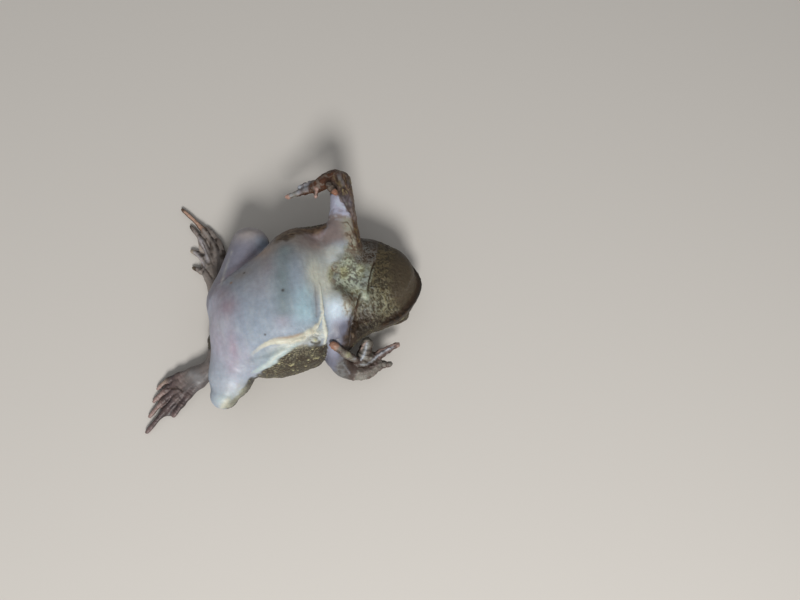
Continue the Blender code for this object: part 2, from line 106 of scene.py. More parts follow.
PALM = {
    "right": [(13.0, 25.0, 13.0, 2.0, 1.9), (10.6, 24.8, 12.3, 1.6, 1.9), (8.8, 24.5, 11.3, 1.35, 1.6)],
    "left": [(8.4, -16.4, 3.9, 2.3, 1.7), (10.8, -16.2, 4.0, 2.8, 1.5), (13.0, -15.6, 4.2, 2.4, 1.2)],
}
# Fingers and toes, first to last: places from root to tip, each with the radius there
FINGERS = {
    "right": [
        [(11.6, 23.6, 13.8, 0.9), (11.5, 21.9, 15.3, 0.8), (12.5, 19.6, 16.2, 0.7)],
        [(9.0, 24.4, 12.0, 0.7), (8.7, 23.2, 12.2, 0.55), (8.1, 21.7, 11.6, 0.42)],
        [(8.8, 24.3, 11.3, 0.95), (5.2, 24.4, 10.2, 0.75), (1.7, 24.4, 9.0, 0.55)],
        [(9.0, 25.6, 10.8, 0.9), (6.9, 25.8, 10.2, 0.75), (4.8, 25.8, 9.6, 0.6)],
    ],
    "left": [
        [(9.9, -15.0, 4.8, 0.85), (7.8, -14.2, 9.8, 0.62),
         (6.1, -13.0, 12.8, 0.55), (4.4, -11.3, 14.2, 0.55)],
        [(10.6, -14.6, 4.6, 1.6), (11.6, -12.9, 5.6, 1.45), (12.8, -10.7, 7.1, 1.2)],
        [(12.8, -14.9, 4.4, 1.25), (16.2, -13.8, 4.4, 0.85), (19.7, -12.8, 4.0, 0.62)],
        [(12.8, -16.3, 3.9, 1.15), (15.2, -16.6, 3.7, 0.82), (17.1, -16.9, 3.5, 0.62)],
    ],
}
SOLE = {
    "right": [(-17.2, 12.0, 1.5, 2.3, 1.3), (-17.3, 14.6, 1.2, 2.5, 0.85), (-17.4, 16.8, 0.9, 2.5, 0.45)],
    "left": [(-25.2, -9.8, 1.5, 2.5, 1.3), (-27.6, -11.0, 1.2, 2.7, 0.85), (-29.6, -12.2, 0.9, 2.6, 0.45)],
}
TOES = {
    "right": [
        [(-17.8, 11.0, 1.7, 0.75), (-19.1, 12.8, 1.4, 0.75),
         (-20.6, 14.3, 0.9, 0.66), (-22.1, 15.6, 0.42, 0.46)],
        [(-17.6, 11.6, 1.8, 0.75), (-18.5, 15.4, 1.4, 0.75),
         (-20.2, 18.1, 0.9, 0.68), (-21.8, 19.7, 0.46, 0.5)],
        [(-17.2, 11.9, 1.9, 0.75), (-17.7, 17.2, 1.4, 0.78),
         (-19.0, 21.6, 0.9, 0.68), (-20.9, 25.8, 0.42, 0.46)],
        [(-16.8, 11.8, 1.9, 0.75), (-16.1, 18.0, 1.5, 0.78),
         (-18.3, 24.2, 0.9, 0.64), (-22.2, 30.4, 0.42, 0.46)],
        [(-16.4, 11.5, 1.8, 0.75), (-14.7, 16.5, 1.4, 0.75),
         (-15.4, 20.9, 0.9, 0.6), (-17.4, 24.8, 0.4, 0.44)],
    ],
    "left": [
        [(-25.6, -8.3, 1.7, 0.75), (-29.0, -8.6, 1.4, 0.75),
         (-31.8, -9.2, 0.9, 0.58), (-33.8, -10.4, 0.4, 0.42)],
        [(-25.6, -9.0, 1.8, 0.75), (-29.5, -10.0, 1.4, 0.75),
         (-32.6, -11.3, 0.9, 0.6), (-35.0, -12.9, 0.4, 0.44)],
        [(-25.4, -9.8, 1.9, 0.75), (-29.9, -11.6, 1.4, 0.75),
         (-33.2, -13.5, 0.9, 0.62), (-36.3, -15.9, 0.4, 0.44)],
        [(-25.2, -10.6, 1.9, 0.75), (-29.5, -13.1, 1.5, 0.78),
         (-33.2, -15.7, 0.9, 0.66), (-37.3, -19.0, 0.46, 0.5)],
        [(-24.9, -11.3, 1.8, 0.75), (-28.2, -14.1, 1.4, 0.75),
         (-30.2, -15.8, 0.9, 0.6), (-31.4, -17.0, 0.4, 0.44)],
    ],
}
# Webs between neighbouring toes: how far out along the first and the second of the two they reach
WEBS = [(0.7, 0.6), (0.72, 0.76), (0.68, 0.66), (0.7, 0.92)]
WEB_Z = 0.55

# Loose skin, as stations: from the right flank to the arm, from the jaw to the left shoulder, and from
# the left armpit along the flank
RIGHT_FOLD = [(-1.0, 12.4, 10.6, 1.6, 2.2), (3.3, 12.8, 11.6, 2.1, 2.4), (7.2, 12.9, 12.2, 2.1, 2.3),
              (10.6, 13.2, 12.4, 1.8, 2.0)]
LEFT_FOLD = [(15.8, -6.3, 7.2, 1.6, 2.4), (12.8, -7.8, 7.4, 1.9, 2.8), (10.2, -9.0, 8.2, 1.9, 2.8),
             (7.6, -10.8, 8.2, 1.7, 2.6)]
FLANK_FOLD = [(4.6, -4.2, 16.2, 0.5, 0.5), (3.2, -8.6, 15.2, 1.0, 0.8), (-1.0, -10.2, 17.2, 1.1, 0.8),
              (-6.0, -11.2, 17.2, 0.9, 0.7), (-11.0, -11.4, 15.6, 0.5, 0.5)]

VOXEL = 0.25
EASE_ROUNDS = 2
LEAST_SLOPE = 0.4      # keeps a limb's or a ball's field from turning flat near its middle


def smooth_rows(rows, count):
    """Catmull-Rom rows through a table of stations."""
    rows = np.asarray(rows, float)
    padded = np.vstack([2 * rows[0] - rows[1], rows, 2 * rows[-1] - rows[-2]])
    out = []
    for step in np.linspace(0, len(rows) - 1, count):
        i = min(int(step), len(rows) - 2)
        t = step - i
        a, b, c, d = padded[i:i + 4]
        out.append(0.5 * (2 * b + (c - a) * t + (2 * a - 5 * b + 4 * c - d) * t ** 2
                          + (3 * b - a - 3 * c + d) * t ** 3))
    return np.array(out)


def on_head(back, side, z):
    """A place in the head's own frame: back from the snout, out to the right, and up."""
    c, s = math.cos(HEAD_TURN), math.sin(HEAD_TURN)
    return np.array([SNOUT[0] - back * c - side * s, SNOUT[1] - back * s + side * c, z])


def ramp(low, high, value):
    """0 on the far side of low, 1 beyond high and a smooth way between; it falls where high is below low."""
    t = np.clip((value - low) / (high - low), 0.0, 1.0)
    return t * t * (3 - 2 * t)


# ---- the field of distances ------------------------------------------------------------------
LOW = np.array([-39.5, -21.5, -1.5])       # the grid's corners
HIGH = np.array([30.0, 32.5, 23.5])
FAR = 6.0                                  # the value where nothing is near
AXES = [np.arange(LOW[k], HIGH[k], VOXEL, dtype=np.float32) for k in range(3)]
SHAPE = tuple(len(axis) for axis in AXES)


def smooth_min(a, b, k):
    """The union of two fields, rounded over k millimetres where they meet."""
    h = np.clip(0.5 + 0.5 * (b - a) / k, 0.0, 1.0)
    return b + (a - b) * h - k * h * (1 - h)


def distance_from(place):
    """Every grid point's distance from one place."""
    x, y, z = (axis - value for axis, value in zip(AXES, place))
    return np.sqrt(x[:, None, None] ** 2 + y[None, :, None] ** 2 + z[None, None, :] ** 2)


def join(field, piece, joint, near, far=0.2, reach=4.5):
    """The union of a limb with what it grows from: rounded over near at the joint and far elsewhere."""
    k = far + (near - far) * np.exp(-(distance_from(joint) / reach) ** 2)
    return smooth_min(field, piece, k.astype(np.float32))


def window(points, reach):
    """Slices of the grid around points, and the grid's points there."""
    slices = []
    for k in range(3):
        first = int(max(0, (points[:, k].min() - reach - LOW[k]) / VOXEL))
        last = int(min(SHAPE[k], (points[:, k].max() + reach - LOW[k]) / VOXEL + 2))
        slices.append(slice(first, last))
    grid = np.meshgrid(*[AXES[k][slices[k]] for k in range(3)], indexing="ij")
    return tuple(slices), np.stack(grid, -1)


def tube_distance(points, rows, up=(0, 0, 1)):
    """Distances of points from a limb given as (x, y, z, half width, half depth) rows."""
    path, half = rows[:, :3], rows[:, 3:]
    count = len(rows)
    along = np.gradient(path, axis=0)
    along /= np.linalg.norm(along, axis=1, keepdims=True)
    side = np.cross(along, np.asarray(up, float))
    side /= np.linalg.norm(side, axis=1, keepdims=True)
    depth = np.cross(side, along)
    nearest = np.full(len(points), np.inf, np.float32)
    index = np.zeros(len(points), int)
    for i in range(count):
        gap = ((points - path[i]) ** 2).sum(1)
        closer = gap < nearest
        nearest[closer] = gap[closer]
        index[closer] = i
    ahead = ((points - path[index]) * along[index]).sum(1)
    within = ((index > 0) | (ahead > 0)) & ((index < count - 1) | (ahead < 0))
    spacing = np.linalg.norm(np.diff(path, axis=0), axis=1).mean()
    place = np.clip(index + np.where(within, np.clip(ahead / spacing, -1, 1), 0), 0, count - 1)
    low = np.minimum(place.astype(int), count - 2)
    share = (place - low)[:, None]

    def at(values):
        return values[low] * (1 - share) + values[low + 1] * share

    offset, width = points - at(path), at(half)
    u, v = (offset * at(side)).sum(1), (offset * at(depth)).sum(1)
    w = np.where(within, 0, (offset * at(along)).sum(1))
    cap = width.min(1)
    r = np.sqrt((u / width[:, 0]) ** 2 + (v / width[:, 1]) ** 2 + (w / cap) ** 2) + 1e-6
    slope = np.sqrt((u / width[:, 0] ** 2) ** 2 + (v / width[:, 1] ** 2) ** 2 + (w / cap ** 2) ** 2) / r
    return (r - 1) / np.maximum(slope, LEAST_SLOPE / width.max(1))


def add_tube(field, stations, k, samples=24, up=(0, 0, 1)):
    """Adds a limb through its stations to a field."""
    rows = smooth_rows(stations, samples)
    slices, grid = window(rows[:, :3], rows[:, 3:].max() + 2.5)
    distance = tube_distance(grid.reshape(-1, 3), rows, up).reshape(grid.shape[:3])
    field[slices] = smooth_min(field[slices], distance.astype(np.float32), k)


def add_ball(field, centre, radius, k, cut=False):
    """Adds an ellipsoid to a field, or cuts it out."""
    centre = np.asarray(centre, float)
    radius = np.broadcast_to(np.asarray(radius, float), 3)
    slices, grid = window(centre[None], radius.max() + 2.0)
    offset = grid - centre
    r = np.sqrt(((offset / radius) ** 2).sum(-1)) + 1e-6
    slope = np.sqrt(((offset / radius ** 2) ** 2).sum(-1)) / r
    distance = ((r - 1) / np.maximum(slope, LEAST_SLOPE / radius.max())).astype(np.float32)
    if cut:
        field[slices] = -smooth_min(-field[slices], distance, k)
    else:
        field[slices] = smooth_min(field[slices], distance, k)


def body_place(x, y):
    """For places in plan: how far along and across the body they are, its length, and its section there."""
    fine = smooth_rows(BODY, 400)
    travel = np.concatenate([[0.0], np.cumsum(np.linalg.norm(np.diff(fine[:, :2], axis=0), axis=1))])
    length = travel[-1]
    heading = HEAD_TURN * ramp(NECK_START, NECK_END, travel / length)
    ahead = np.stack([np.cos(heading), np.sin(heading)], 1)
    best = np.full(x.shape, np.inf)
    index = np.zeros(x.shape, int)
    for i in range(len(fine)):
        gap = np.abs((x - fine[i, 0]) * ahead[i, 0] + (y - fine[i, 1]) * ahead[i, 1])
        closer = gap < best
        best[closer] = gap[closer]
        index[closer] = i
    dx, dy = x - fine[index, 0], y - fine[index, 1]
    beyond = dx * ahead[index, 0] + dy * ahead[index, 1]
    across = dy * ahead[index, 0] - dx * ahead[index, 1]
    at_end = (index == 0) | (index == len(fine) - 1)
    return travel[index] + np.where(at_end, beyond, 0.0), across, length, fine[index]


def body_field():
    """Head and trunk as one form."""
    x, y = np.meshgrid(AXES[0], AXES[1], indexing="ij")
    along, across, length, row = body_place(x, y)
    front = np.clip((along - length + SNOUT_CAP) / SNOUT_CAP, 0, None)
    rear = np.clip((RUMP_CAP - along) / RUMP_CAP, 0, None)
    close = np.sqrt(np.clip(1 - np.maximum(front, rear) ** 2, 0, 1))
    tip_z = np.where(front > 0, BODY[-1][5], BODY[0][5])
    capped = (front > 0) | (rear > 0)
    level = np.where(capped, tip_z + (row[..., 5] - tip_z) * close, row[..., 5])
    above = AXES[2][None, None, :] - level[..., None]
    belly = above > 0
    reach = np.where(belly, (row[..., 3] - level)[..., None], (level - row[..., 4])[..., None])
    power = np.where(belly, BELLY_SQUARENESS, BACK_SQUARENESS)
    u = (np.abs(across) / row[..., 2])[..., None]
    r = (u ** power + (np.abs(above) / reach) ** power + 1e-9) ** (1 / power)
    value = (np.sqrt(r ** 2 + (front ** 2 + rear ** 2)[..., None]) - 1).astype(np.float32)
    slope = np.sqrt(sum(part ** 2 for part in np.gradient(value, VOXEL)))
    return (value / np.maximum(slope, 0.03)).astype(np.float32)


def mouth_height(across):
    """The height of the mouth's line, which the turned head brings lower on its right side."""
    return MOUTH_Z - MOUTH_ROLL * across


def jaw_inset():
    """The lower jaw's edge, which sits inside the upper lip all round the mouth."""
    x, y = np.meshgrid(AXES[0], AXES[1], indexing="ij")
    along, across, length = body_place(x, y)[:3]
    head = ramp(-MOUTH_LENGTH - 2.5, -MOUTH_LENGTH + 2, along - length)
    head *= 1 - 0.55 * ramp(-1, 6, across)
    above = AXES[2][None, None, :] - mouth_height(across)[..., None]
    step = ramp(-0.15, 0.3, above) * ramp(4.5, 1.0, above)
    return (JAW_INSET * head[..., None] * step).astype(np.float32)


def empty_field():
    return np.full(SHAPE, FAR, np.float32)


# ---- hands and feet --------------------------------------------------------------------------
# Places along a digit, as shares of its length, and how thick it is there: knuckles at 0.36 and 0.64
DIGIT = [(0.0, 1.0), (0.2, 0.95), (0.36, 1.12), (0.5, 0.88), (0.64, 1.1), (0.78, 0.84), (0.9, 1.02),
         (1.0, 0.95)]
KNUCKLES = (0.36, 0.64)


def digit_path(places):
    """A finger or toe as 40 even places with radii, ending a radius short of its tip."""
    rows = smooth_rows(places, 80)
    travel = np.concatenate([[0.0], np.cumsum(np.linalg.norm(np.diff(rows[:, :3], axis=0), axis=1))])
    ends = np.linspace(0, travel[-1] - rows[-1, 3], 40)
    return np.stack([np.interp(ends, travel, rows[:, k]) for k in range(4)], 1)


def digit_stations(places):
    rows = digit_path(places)
    shares = np.linspace(0, 1, len(rows))
    stations = []
    for share, size in DIGIT:
        x, y, z, radius = (np.interp(share, shares, rows[:, k]) for k in range(4))
        stations.append((x, y, z, radius * size, radius * size))
    return stations


def add_web(field, first, second, reach):
    """A thin skin between two toes, as far out along each as reach says."""
    a, b = digit_path(first), digit_path(second)
    shares = np.linspace(0, 1, len(a))
    for part in np.linspace(0.1, 1.0, 26):
        p, q = (np.array([np.interp(part * far, shares, rows[:, k]) for k in range(3)])
                for rows, far in zip((a, b), reach))
        middle = (p + q) / 2 - (0, 0, 0.25)
        low = np.minimum([p[2], middle[2], q[2]], WEB_Z + 0.6 * (1 - part))
        rows = [(*place[:2], z, 0.4, 0.3 - 0.1 * part) for place, z in zip((p, middle, q), low)]
        add_tube(field, rows, 0.3, samples=7)


def foot_field(word):
    field = empty_field()
    add_tube(field, TARSUS[word], 1.2)
    add_tube(field, SOLE[word], 1.2)
    for toe in TOES[word]:
        add_tube(field, digit_stations(toe), 0.35, samples=30)
    for first, second, reach in zip(TOES[word], TOES[word][1:], WEBS):
        add_web(field, first, second, reach)
    return field


def hand_field(word):
    field = empty_field()
    add_tube(field, PALM[word], 0.4)
    for finger in FINGERS[word]:
        add_tube(field, digit_stations(finger), 0.6)
    return field


def limb_field(stations):
    field = empty_field()
    add_tube(field, stations, 0.4)
    return field


# ---- the whole frog --------------------------------------------------------------------------
PART_NAMES = ("thigh", "shank", "foot", "upper_arm", "forearm", "hand")
# A number for each limb part of each side; 0 is the head and trunk
PART = {(name, word): 1 + len(PART_NAMES) * w + n
        for w, word in enumerate(("right", "left")) for n, name in enumerate(PART_NAMES)}


def eye_centre(side):
    return on_head(EYE_BACK - EYE_AIM[0], side * (EYE_SIDE + EYE_AIM[1]), EYE_Z + EYE_AIM[2])


def frog_field():
    """The skin's field, and for each grid point the number of the part that is nearest."""
    field = body_field()
    add_tube(field, FLANK_FOLD, 0.8)
    add_tube(field, RIGHT_FOLD, 1.5)
    add_tube(field, LEFT_FOLD, 1.5)
    field += jaw_inset()
    for side in (1, -1):
        add_ball(field, on_head(EYE_BACK, side * EYE_SIDE, EYE_Z), LID_R, LID_BLEND)
    owner = np.zeros(SHAPE, np.uint8)
    for word, thigh_blend in (("right", 4.0), ("left", 3.0)):
        # Each limb part, its joint's place, how wide it is rounded there, and how far out
        pieces = [
            ("thigh", limb_field(THIGH[word]), THIGH[word][0], thigh_blend, 9.0),
            ("shank", limb_field(SHANK[word]), SHANK[word][0], 1.2, 3.0),
            ("foot", foot_field(word), TARSUS[word][0], 1.0, 2.5),
            ("upper_arm", limb_field(UPPER_ARM[word]), UPPER_ARM[word][0], 3.2, 6.5),
            ("forearm", limb_field(FOREARM[word]), FOREARM[word][0], 1.6, 3.0),
            ("hand", hand_field(word), PALM[word][0], 1.2, 2.5),
        ]
        for name, piece, joint, near, reach in pieces:
            owner[piece < field] = PART[name, word]
            field = join(field, piece, joint[:3], near, reach=reach)
    for side in (1, -1):
        add_ball(field, eye_centre(side), EYE_R + EYE_GAP, 0.1, cut=True)
        nostril = on_head(NOSTRIL_BACK, side * NOSTRIL_SIDE, NOSTRIL_Z)
        add_ball(field, nostril, NOSTRIL_R, NOSTRIL_BLEND, cut=True)
    floor = -AXES[2][None, None, :]
    return np.maximum(field, floor).astype(np.float32), owner


def skin_mesh(field):
    """The field's zero surface as points and quads that face outwards."""
    grid = openvdb.FloatGrid(FAR)
    grid.copyFromArray(np.clip(field, -FAR, FAR).astype(np.float32))
    points, quads = grid.convertToQuads(0.0)
    return points * VOXEL + LOW, quads


def to_row(points):
    """Model millimetres to the row frame's metres."""
    return (np.asarray(points) - CENTRE) * MM


def new_object(name, data):
    made = bpy.data.objects.new(name, data)
    bpy.context.scene.collection.objects.link(made)
    return made


def read(items, name, width, kind=np.float32):
    """A property of all points or edges as rows."""
    flat = np.empty(len(items) * width, kind)
    items.foreach_get(name, flat)
    return flat.reshape(-1, width)


def points_of(mesh):
    return read(mesh.vertices, "co", 3).astype(float) / MM + CENTRE


def set_points(mesh, points):
    mesh.vertices.foreach_set("co", to_row(points).astype(np.float32).ravel())
    mesh.update()


class Spreader:
    """Averages values over neighbouring points of a mesh."""

    def __init__(self, mesh):
        edges, self.count = read(mesh.edges, "vertices", 2, np.int32), len(mesh.vertices)
        self.a, self.b = edges.T
        self.degree = np.bincount(edges.ravel(), minlength=self.count).astype(float)

    def once(self, values):
        if values.ndim == 2:
            return np.stack([self.once(values[:, k]) for k in range(values.shape[1])], 1)
        ahead = np.bincount(self.a, values[self.b], self.count)
        behind = np.bincount(self.b, values[self.a], self.count)
        return (ahead + behind) / np.maximum(self.degree, 1)

    def smooth(self, values, rounds, share=0.5):
        for _ in range(rounds):
            values = values + share * (self.once(values) - values)
        return values


def build_skin():
    """The skin's object at its full fineness, and each point's part number."""
    field, owner = frog_field()
    points, quads = skin_mesh(field)
    mesh = bpy.data.meshes.new("skin")
    mesh.from_pydata(to_row(points).tolist(), [], quads.tolist())
    mesh.validate()
    skin = new_object("skin", mesh)
    shape = bmesh.new()
    shape.from_mesh(skin.data)
    bmesh.ops.recalc_face_normals(shape, faces=shape.faces)
    shape.to_mesh(skin.data)
    shape.free()
    points = points_of(skin.data)
    on_floor = points[:, 2] < 0.02
    eased = Spreader(skin.data).smooth(points, EASE_ROUNDS)
    eased[on_floor, 2] = 0.0
    set_points(skin.data, eased)
    skin.modifiers.new("finer", "SUBSURF").levels = 1
    apply_modifiers(skin)
    points = points_of(skin.data)
    cell = np.round((points - LOW) / VOXEL).astype(int)
    cell = np.clip(cell, 0, np.array(SHAPE) - 1)
    return skin, owner[cell[:, 0], cell[:, 1], cell[:, 2]]


def apply_modifiers(piece):
    bpy.context.view_layer.update()
    evaluated = piece.evaluated_get(bpy.context.evaluated_depsgraph_get())
    mesh = bpy.data.meshes.new_from_object(evaluated)
    piece.modifiers.clear()
    piece.data = mesh


# ---- patterns --------------------------------------------------------------------------------
def scramble(cell, seed):
    """A number from 0 to 1 for each whole-numbered cell."""
    x, y, z = (cell[:, k].astype(np.int64) for k in range(3))
    mixed = (x * 73856093) ^ (y * 19349663) ^ (z * 83492791) ^ (seed * 2654435761)
    mixed = (mixed ^ (mixed >> 13)) * 1274126177 & 0xFFFFFFFF
    mixed = (mixed ^ (mixed >> 15)) * 2246822519 & 0xFFFFFFFF
    return ((mixed ^ (mixed >> 16)) & 0xFFFFFF) / 0xFFFFFF


def noise(points, size, seed, octaves=2):
    """Smooth noise from -1 to 1 with features of about this size in millimetres."""
    total, weight, full = 0.0, 1.0, 0.0
    for octave in range(octaves):
        scaled = points / (np.asarray(size) / 2 ** octave)
        cell = np.floor(scaled).astype(np.int64)
        t = scaled - cell
        t = t * t * (3 - 2 * t)
        value = 0.0
        for corner in np.ndindex(2, 2, 2):
            share = np.prod(np.where(corner, t, 1 - t), axis=1)
            value = value + share * scramble(cell + corner, seed + 17 * octave)
        total = total + weight * (2 * value - 1)
        full += weight
        weight *= 0.5
    return total / full


GRAIN_REACH = 0.62     # a grain's radius, as a share of the grains' spacing


def cells(points, seed):
    """Scattered centres, one in each unit cell: the distance of the nearest one, and its own number."""
    base = np.floor(points).astype(np.int64)
    nearest = np.full(len(points), np.inf)
    number = np.zeros(len(points))
    for step in np.ndindex(3, 3, 3):
        cell = base + np.array(step) - 1
        jitter = np.stack([scramble(cell, seed + k) for k in range(3)], 1)
        gap = ((cell + jitter - points) ** 2).sum(1)
        closer = gap < nearest
        number[closer] = jitter[closer, 0] * 7.31 % 1
        nearest[closer] = gap[closer]
    return np.sqrt(nearest), number


def warped(points, size, seed):
    """The points pushed about by noise, so that a pattern laid on them winds."""
    return points + 1.2 * size * np.stack([noise(points, 2 * size, seed + k) for k in range(3)], 1)


def blots(points, size, seed, low, high):
    """Irregular spots of about this size: 1 inside them and 0 between them."""
    return ramp(low, high, noise(warped(points, size, seed), size, seed + 5))


def veins(points, size, seed, width):
    """A net of winding lines about this far apart: 1 along them and 0 between them."""
    hills = noise(warped(points, 0.5 * size, seed), size, seed + 5, 1)
    return ramp(width, 0.2 * width, np.abs(hills))


def winding_lines(points, distance, spacing, seed):
    """Uneven lines from -1 to 1, a spacing apart, that follow where a distance stays the same."""
    bent = distance / spacing + 0.8 * noise(points, 2.2, seed) + 0.35 * noise(points, 0.9, seed + 3)
    return np.cos(2 * math.pi * bent) * (0.75 + 0.25 * noise(points, 1.2, seed + 7))


def beyond(points, line, count=60):
    """In plan, how far points lie to the left of a line drawn through places; to its right is negative."""
    path = smooth_rows(line, count)
    step = np.diff(path, axis=0)
    nearest = np.full(len(points), np.inf)
    side = np.zeros(len(points))
    for (x, y), (dx, dy) in zip(path, step):
        px, py = points[:, 0] - x, points[:, 1] - y
        t = np.clip((px * dx + py * dy) / (dx * dx + dy * dy), 0, 1)
        gap = (px - t * dx) ** 2 + (py - t * dy) ** 2
        closer = gap < nearest
        nearest[closer] = gap[closer]
        side[closer] = (dx * py - dy * px)[closer]
    return np.sign(side) * np.sqrt(nearest)


FAR_AWAY = 99.0


def near_curve(points, curve, reach=4.0):
    """How far points are from a curve in space, where along it from 0 to 1, and on which side in plan.

    The third value is the distance, below 0 to the curve's right. Points beyond the reach count as far.
    """
    here = np.all((points > curve.min(0) - reach) & (points < curve.max(0) + reach), axis=1)
    close = points[here]
    nearest = np.full(len(close), np.inf)
    along = np.zeros(len(close))
    turn = np.zeros(len(close))
    step = np.diff(curve, axis=0)
    for i, (start, way) in enumerate(zip(curve, step)):
        if not way.any():
            continue
        offset = close - start
        t = np.clip(offset @ way / (way @ way), 0, 1)
        gap = ((offset - t[:, None] * way) ** 2).sum(1)
        closer = gap < nearest
        nearest[closer] = gap[closer]
        along[closer] = ((i + t) / len(step))[closer]
        turn[closer] = (way[0] * offset[:, 1] - way[1] * offset[:, 0])[closer]
    distance, share, side = np.full((3, len(points)), FAR_AWAY) * [[1], [0], [1]]
    distance[here] = np.sqrt(nearest)
    share[here] = along
    side[here] = np.sign(turn) * distance[here]
    return distance, share, side


def place_on_skin(points, x, y):
    """The highest skin at a place in plan."""
    gap = (points[:, 0] - x) ** 2 + (points[:, 1] - y) ** 2
    close = points[gap < max(0.09, 1.2 * gap.min())]
    return close[close[:, 2].argmax()]


def on_skin(points, line, count=40):
    """A curve through places in plan, laid on the skin there."""
    return np.array([place_on_skin(points, x, y) for x, y in smooth_rows(line, count)])


def swell(distance, width):
    """1 where a distance is 0, fading out over about a width."""
    return np.exp(-(distance / width) ** 2)


def fade(share, start, end):
    """1 along a line's middle, fading to 0 over its first share and from a share on to its end."""
    return ramp(0, start, share) * ramp(1, end, share)


# ---- lines and borders on the belly side, in plan --------------------------------------------
GULAR_FOLD = [(19.6, 9.2), (18.1, 5.8), (17.0, 3.3), (15.7, 0.8), (14.7, -1.7), (14.0, -3.2),
              (12.2, -3.9), (11.2, -5.5), (10.6, -7.4), (10.3, -9.6)]
THROAT_CREASES = [
    [(17.9, 5.3), (17.0, 3.3), (15.7, 0.8), (14.7, -1.7), (14.1, -3.8)],
    [(13.3, -1.6), (12.5, -2.9), (11.7, -4.1), (11.0, -5.5), (10.6, -7.4), (10.3, -9.6)],
]
THROAT_REAR = [(14.0, 11.0), (13.5, 9.3), (11.5, 7.3), (9.6, 5.8), (8.0, 4.7), (6.9, 3.1), (7.0, 1.3),
               (7.6, -0.5), (8.6, -1.9), (8.8, -3.6), (9.5, -5.1), (10.1, -6.2), (10.4, -8.5)]
CHIN_REAR = [(24.0, 7.6), (22.4, 4.8), (21.0, 2.4), (20.2, -0.3), (19.8, -2.9), (20.4, -4.8),
             (22.2, -5.9), (25.0, -6.8)]
FLANK_EDGE = [(9.0, -11.4), (5.6, -11.2), (3.3, -11.1), (0.8, -11.3), (-0.7, -11.0), (-2.3, -11.0),
              (-4.2, -11.5), (-6.2, -12.3), (-7.9, -13.1), (-10.0, -13.6), (-12.1, -13.8),
              (-13.5, -14.6), (-15.5, -16.4), (-18.2, -18.0), (-21.0, -20.0)]
UPPER_FOLD = [(2.5, -8.0), (1.5, -8.8), (0.5, -9.1), (-0.6, -9.6), (-2.1, -10.0), (-3.9, -10.0),
              (-5.7, -9.8), (-7.3, -9.7), (-8.9, -9.9), (-10.5, -10.4), (-12.0, -11.0)]
LOWER_FOLD = [(-1.4, -10.4), (-2.4, -10.8), (-3.6, -11.1), (-5.0, -11.6), (-6.5, -12.2), (-8.1, -12.9),
              (-9.8, -13.3), (-11.6, -13.5), (-12.8, -13.5)]
FLANK_RIDGE = [(-4.4, -14.0), (-2.5, -13.6), (-0.7, -13.7), (1.9, -13.4)]
FLANK_WARTS = [(-2.4, -11.7), (-0.7, -13.8), (1.5, -13.6), (-1.4, -14.6), (-4.3, -14.9), (-4.2, -12.4),
               (0.6, -12.2), (-6.6, -13.4)]
ARMPIT_FOLD = [(4.9, 0.2), (4.4, -3.0), (4.1, -5.0), (4.0, -6.4), (3.9, -8.0), (3.9, -9.4),
               (3.4, -10.8)]
ARMPIT_BRANCH = [(4.3, -4.6), (3.8, -5.7), (3.2, -7.2), (2.4, -8.1)]
ARMPIT_CREASE = [(4.2, 0.8), (3.7, -2.4), (3.3, -5.0), (2.7, -7.0)]
ARMPIT_WART = (1.4, -10.5)
# THIGH_LINE: where the painted highlight along the right thigh runs
THIGH_LINE = [(-11.9, 13.1), (-13.0, 11.0), (-14.0, 8.8), (-14.9, 6.1)]
GROIN = [(-3.9, 11.5), (-7.2, 11.2), (-9.6, 9.7), (-11.9, 8.2), (-14.4, 6.8), (-16.3, 4.7)]
TEAL_BAND = [(-0.9, 8.0), (-1.6, 5.6), (-2.3, 1.8), (-2.9, -1.4), (-3.3, -3.6)]
SHOULDER_EDGE = [(6.2, -13.8), (6.8, -11.8), (7.4, -10.0), (8.4, -8.4), (9.6, -6.9), (10.6, -5.4)]
RIGHT_EDGE = [(-5.0, 11.6), (-0.4, 11.9), (0.9, 12.1), (2.6, 12.8), (4.4, 13.3), (6.5, 12.9),
              (8.5, 13.6), (10.0, 15.0)]
ARM_SEAM = [(13.9, 7.0), (14.1, 8.5), (14.2, 11.5), (14.2, 13.6), (13.9, 15.4), (13.7, 16.6),
            (13.3, 18.0), (12.8, 19.6), (12.4, 21.4)]

# How low the pale belly skin comes on each side: place along the body in x, and height there
BACK_EDGE = {
    "left": [(-22.0, 7.0), (9.0, 7.0), (14.0, 6.0)],
    "right": [(-22.0, 6.0), (-12.0, 7.0), (-4.0, 9.0), (0.0, 12.4), (3.0, 14.0), (8.0, 14.0),
              (10.5, 12.0), (14.0, 7.0)],
}

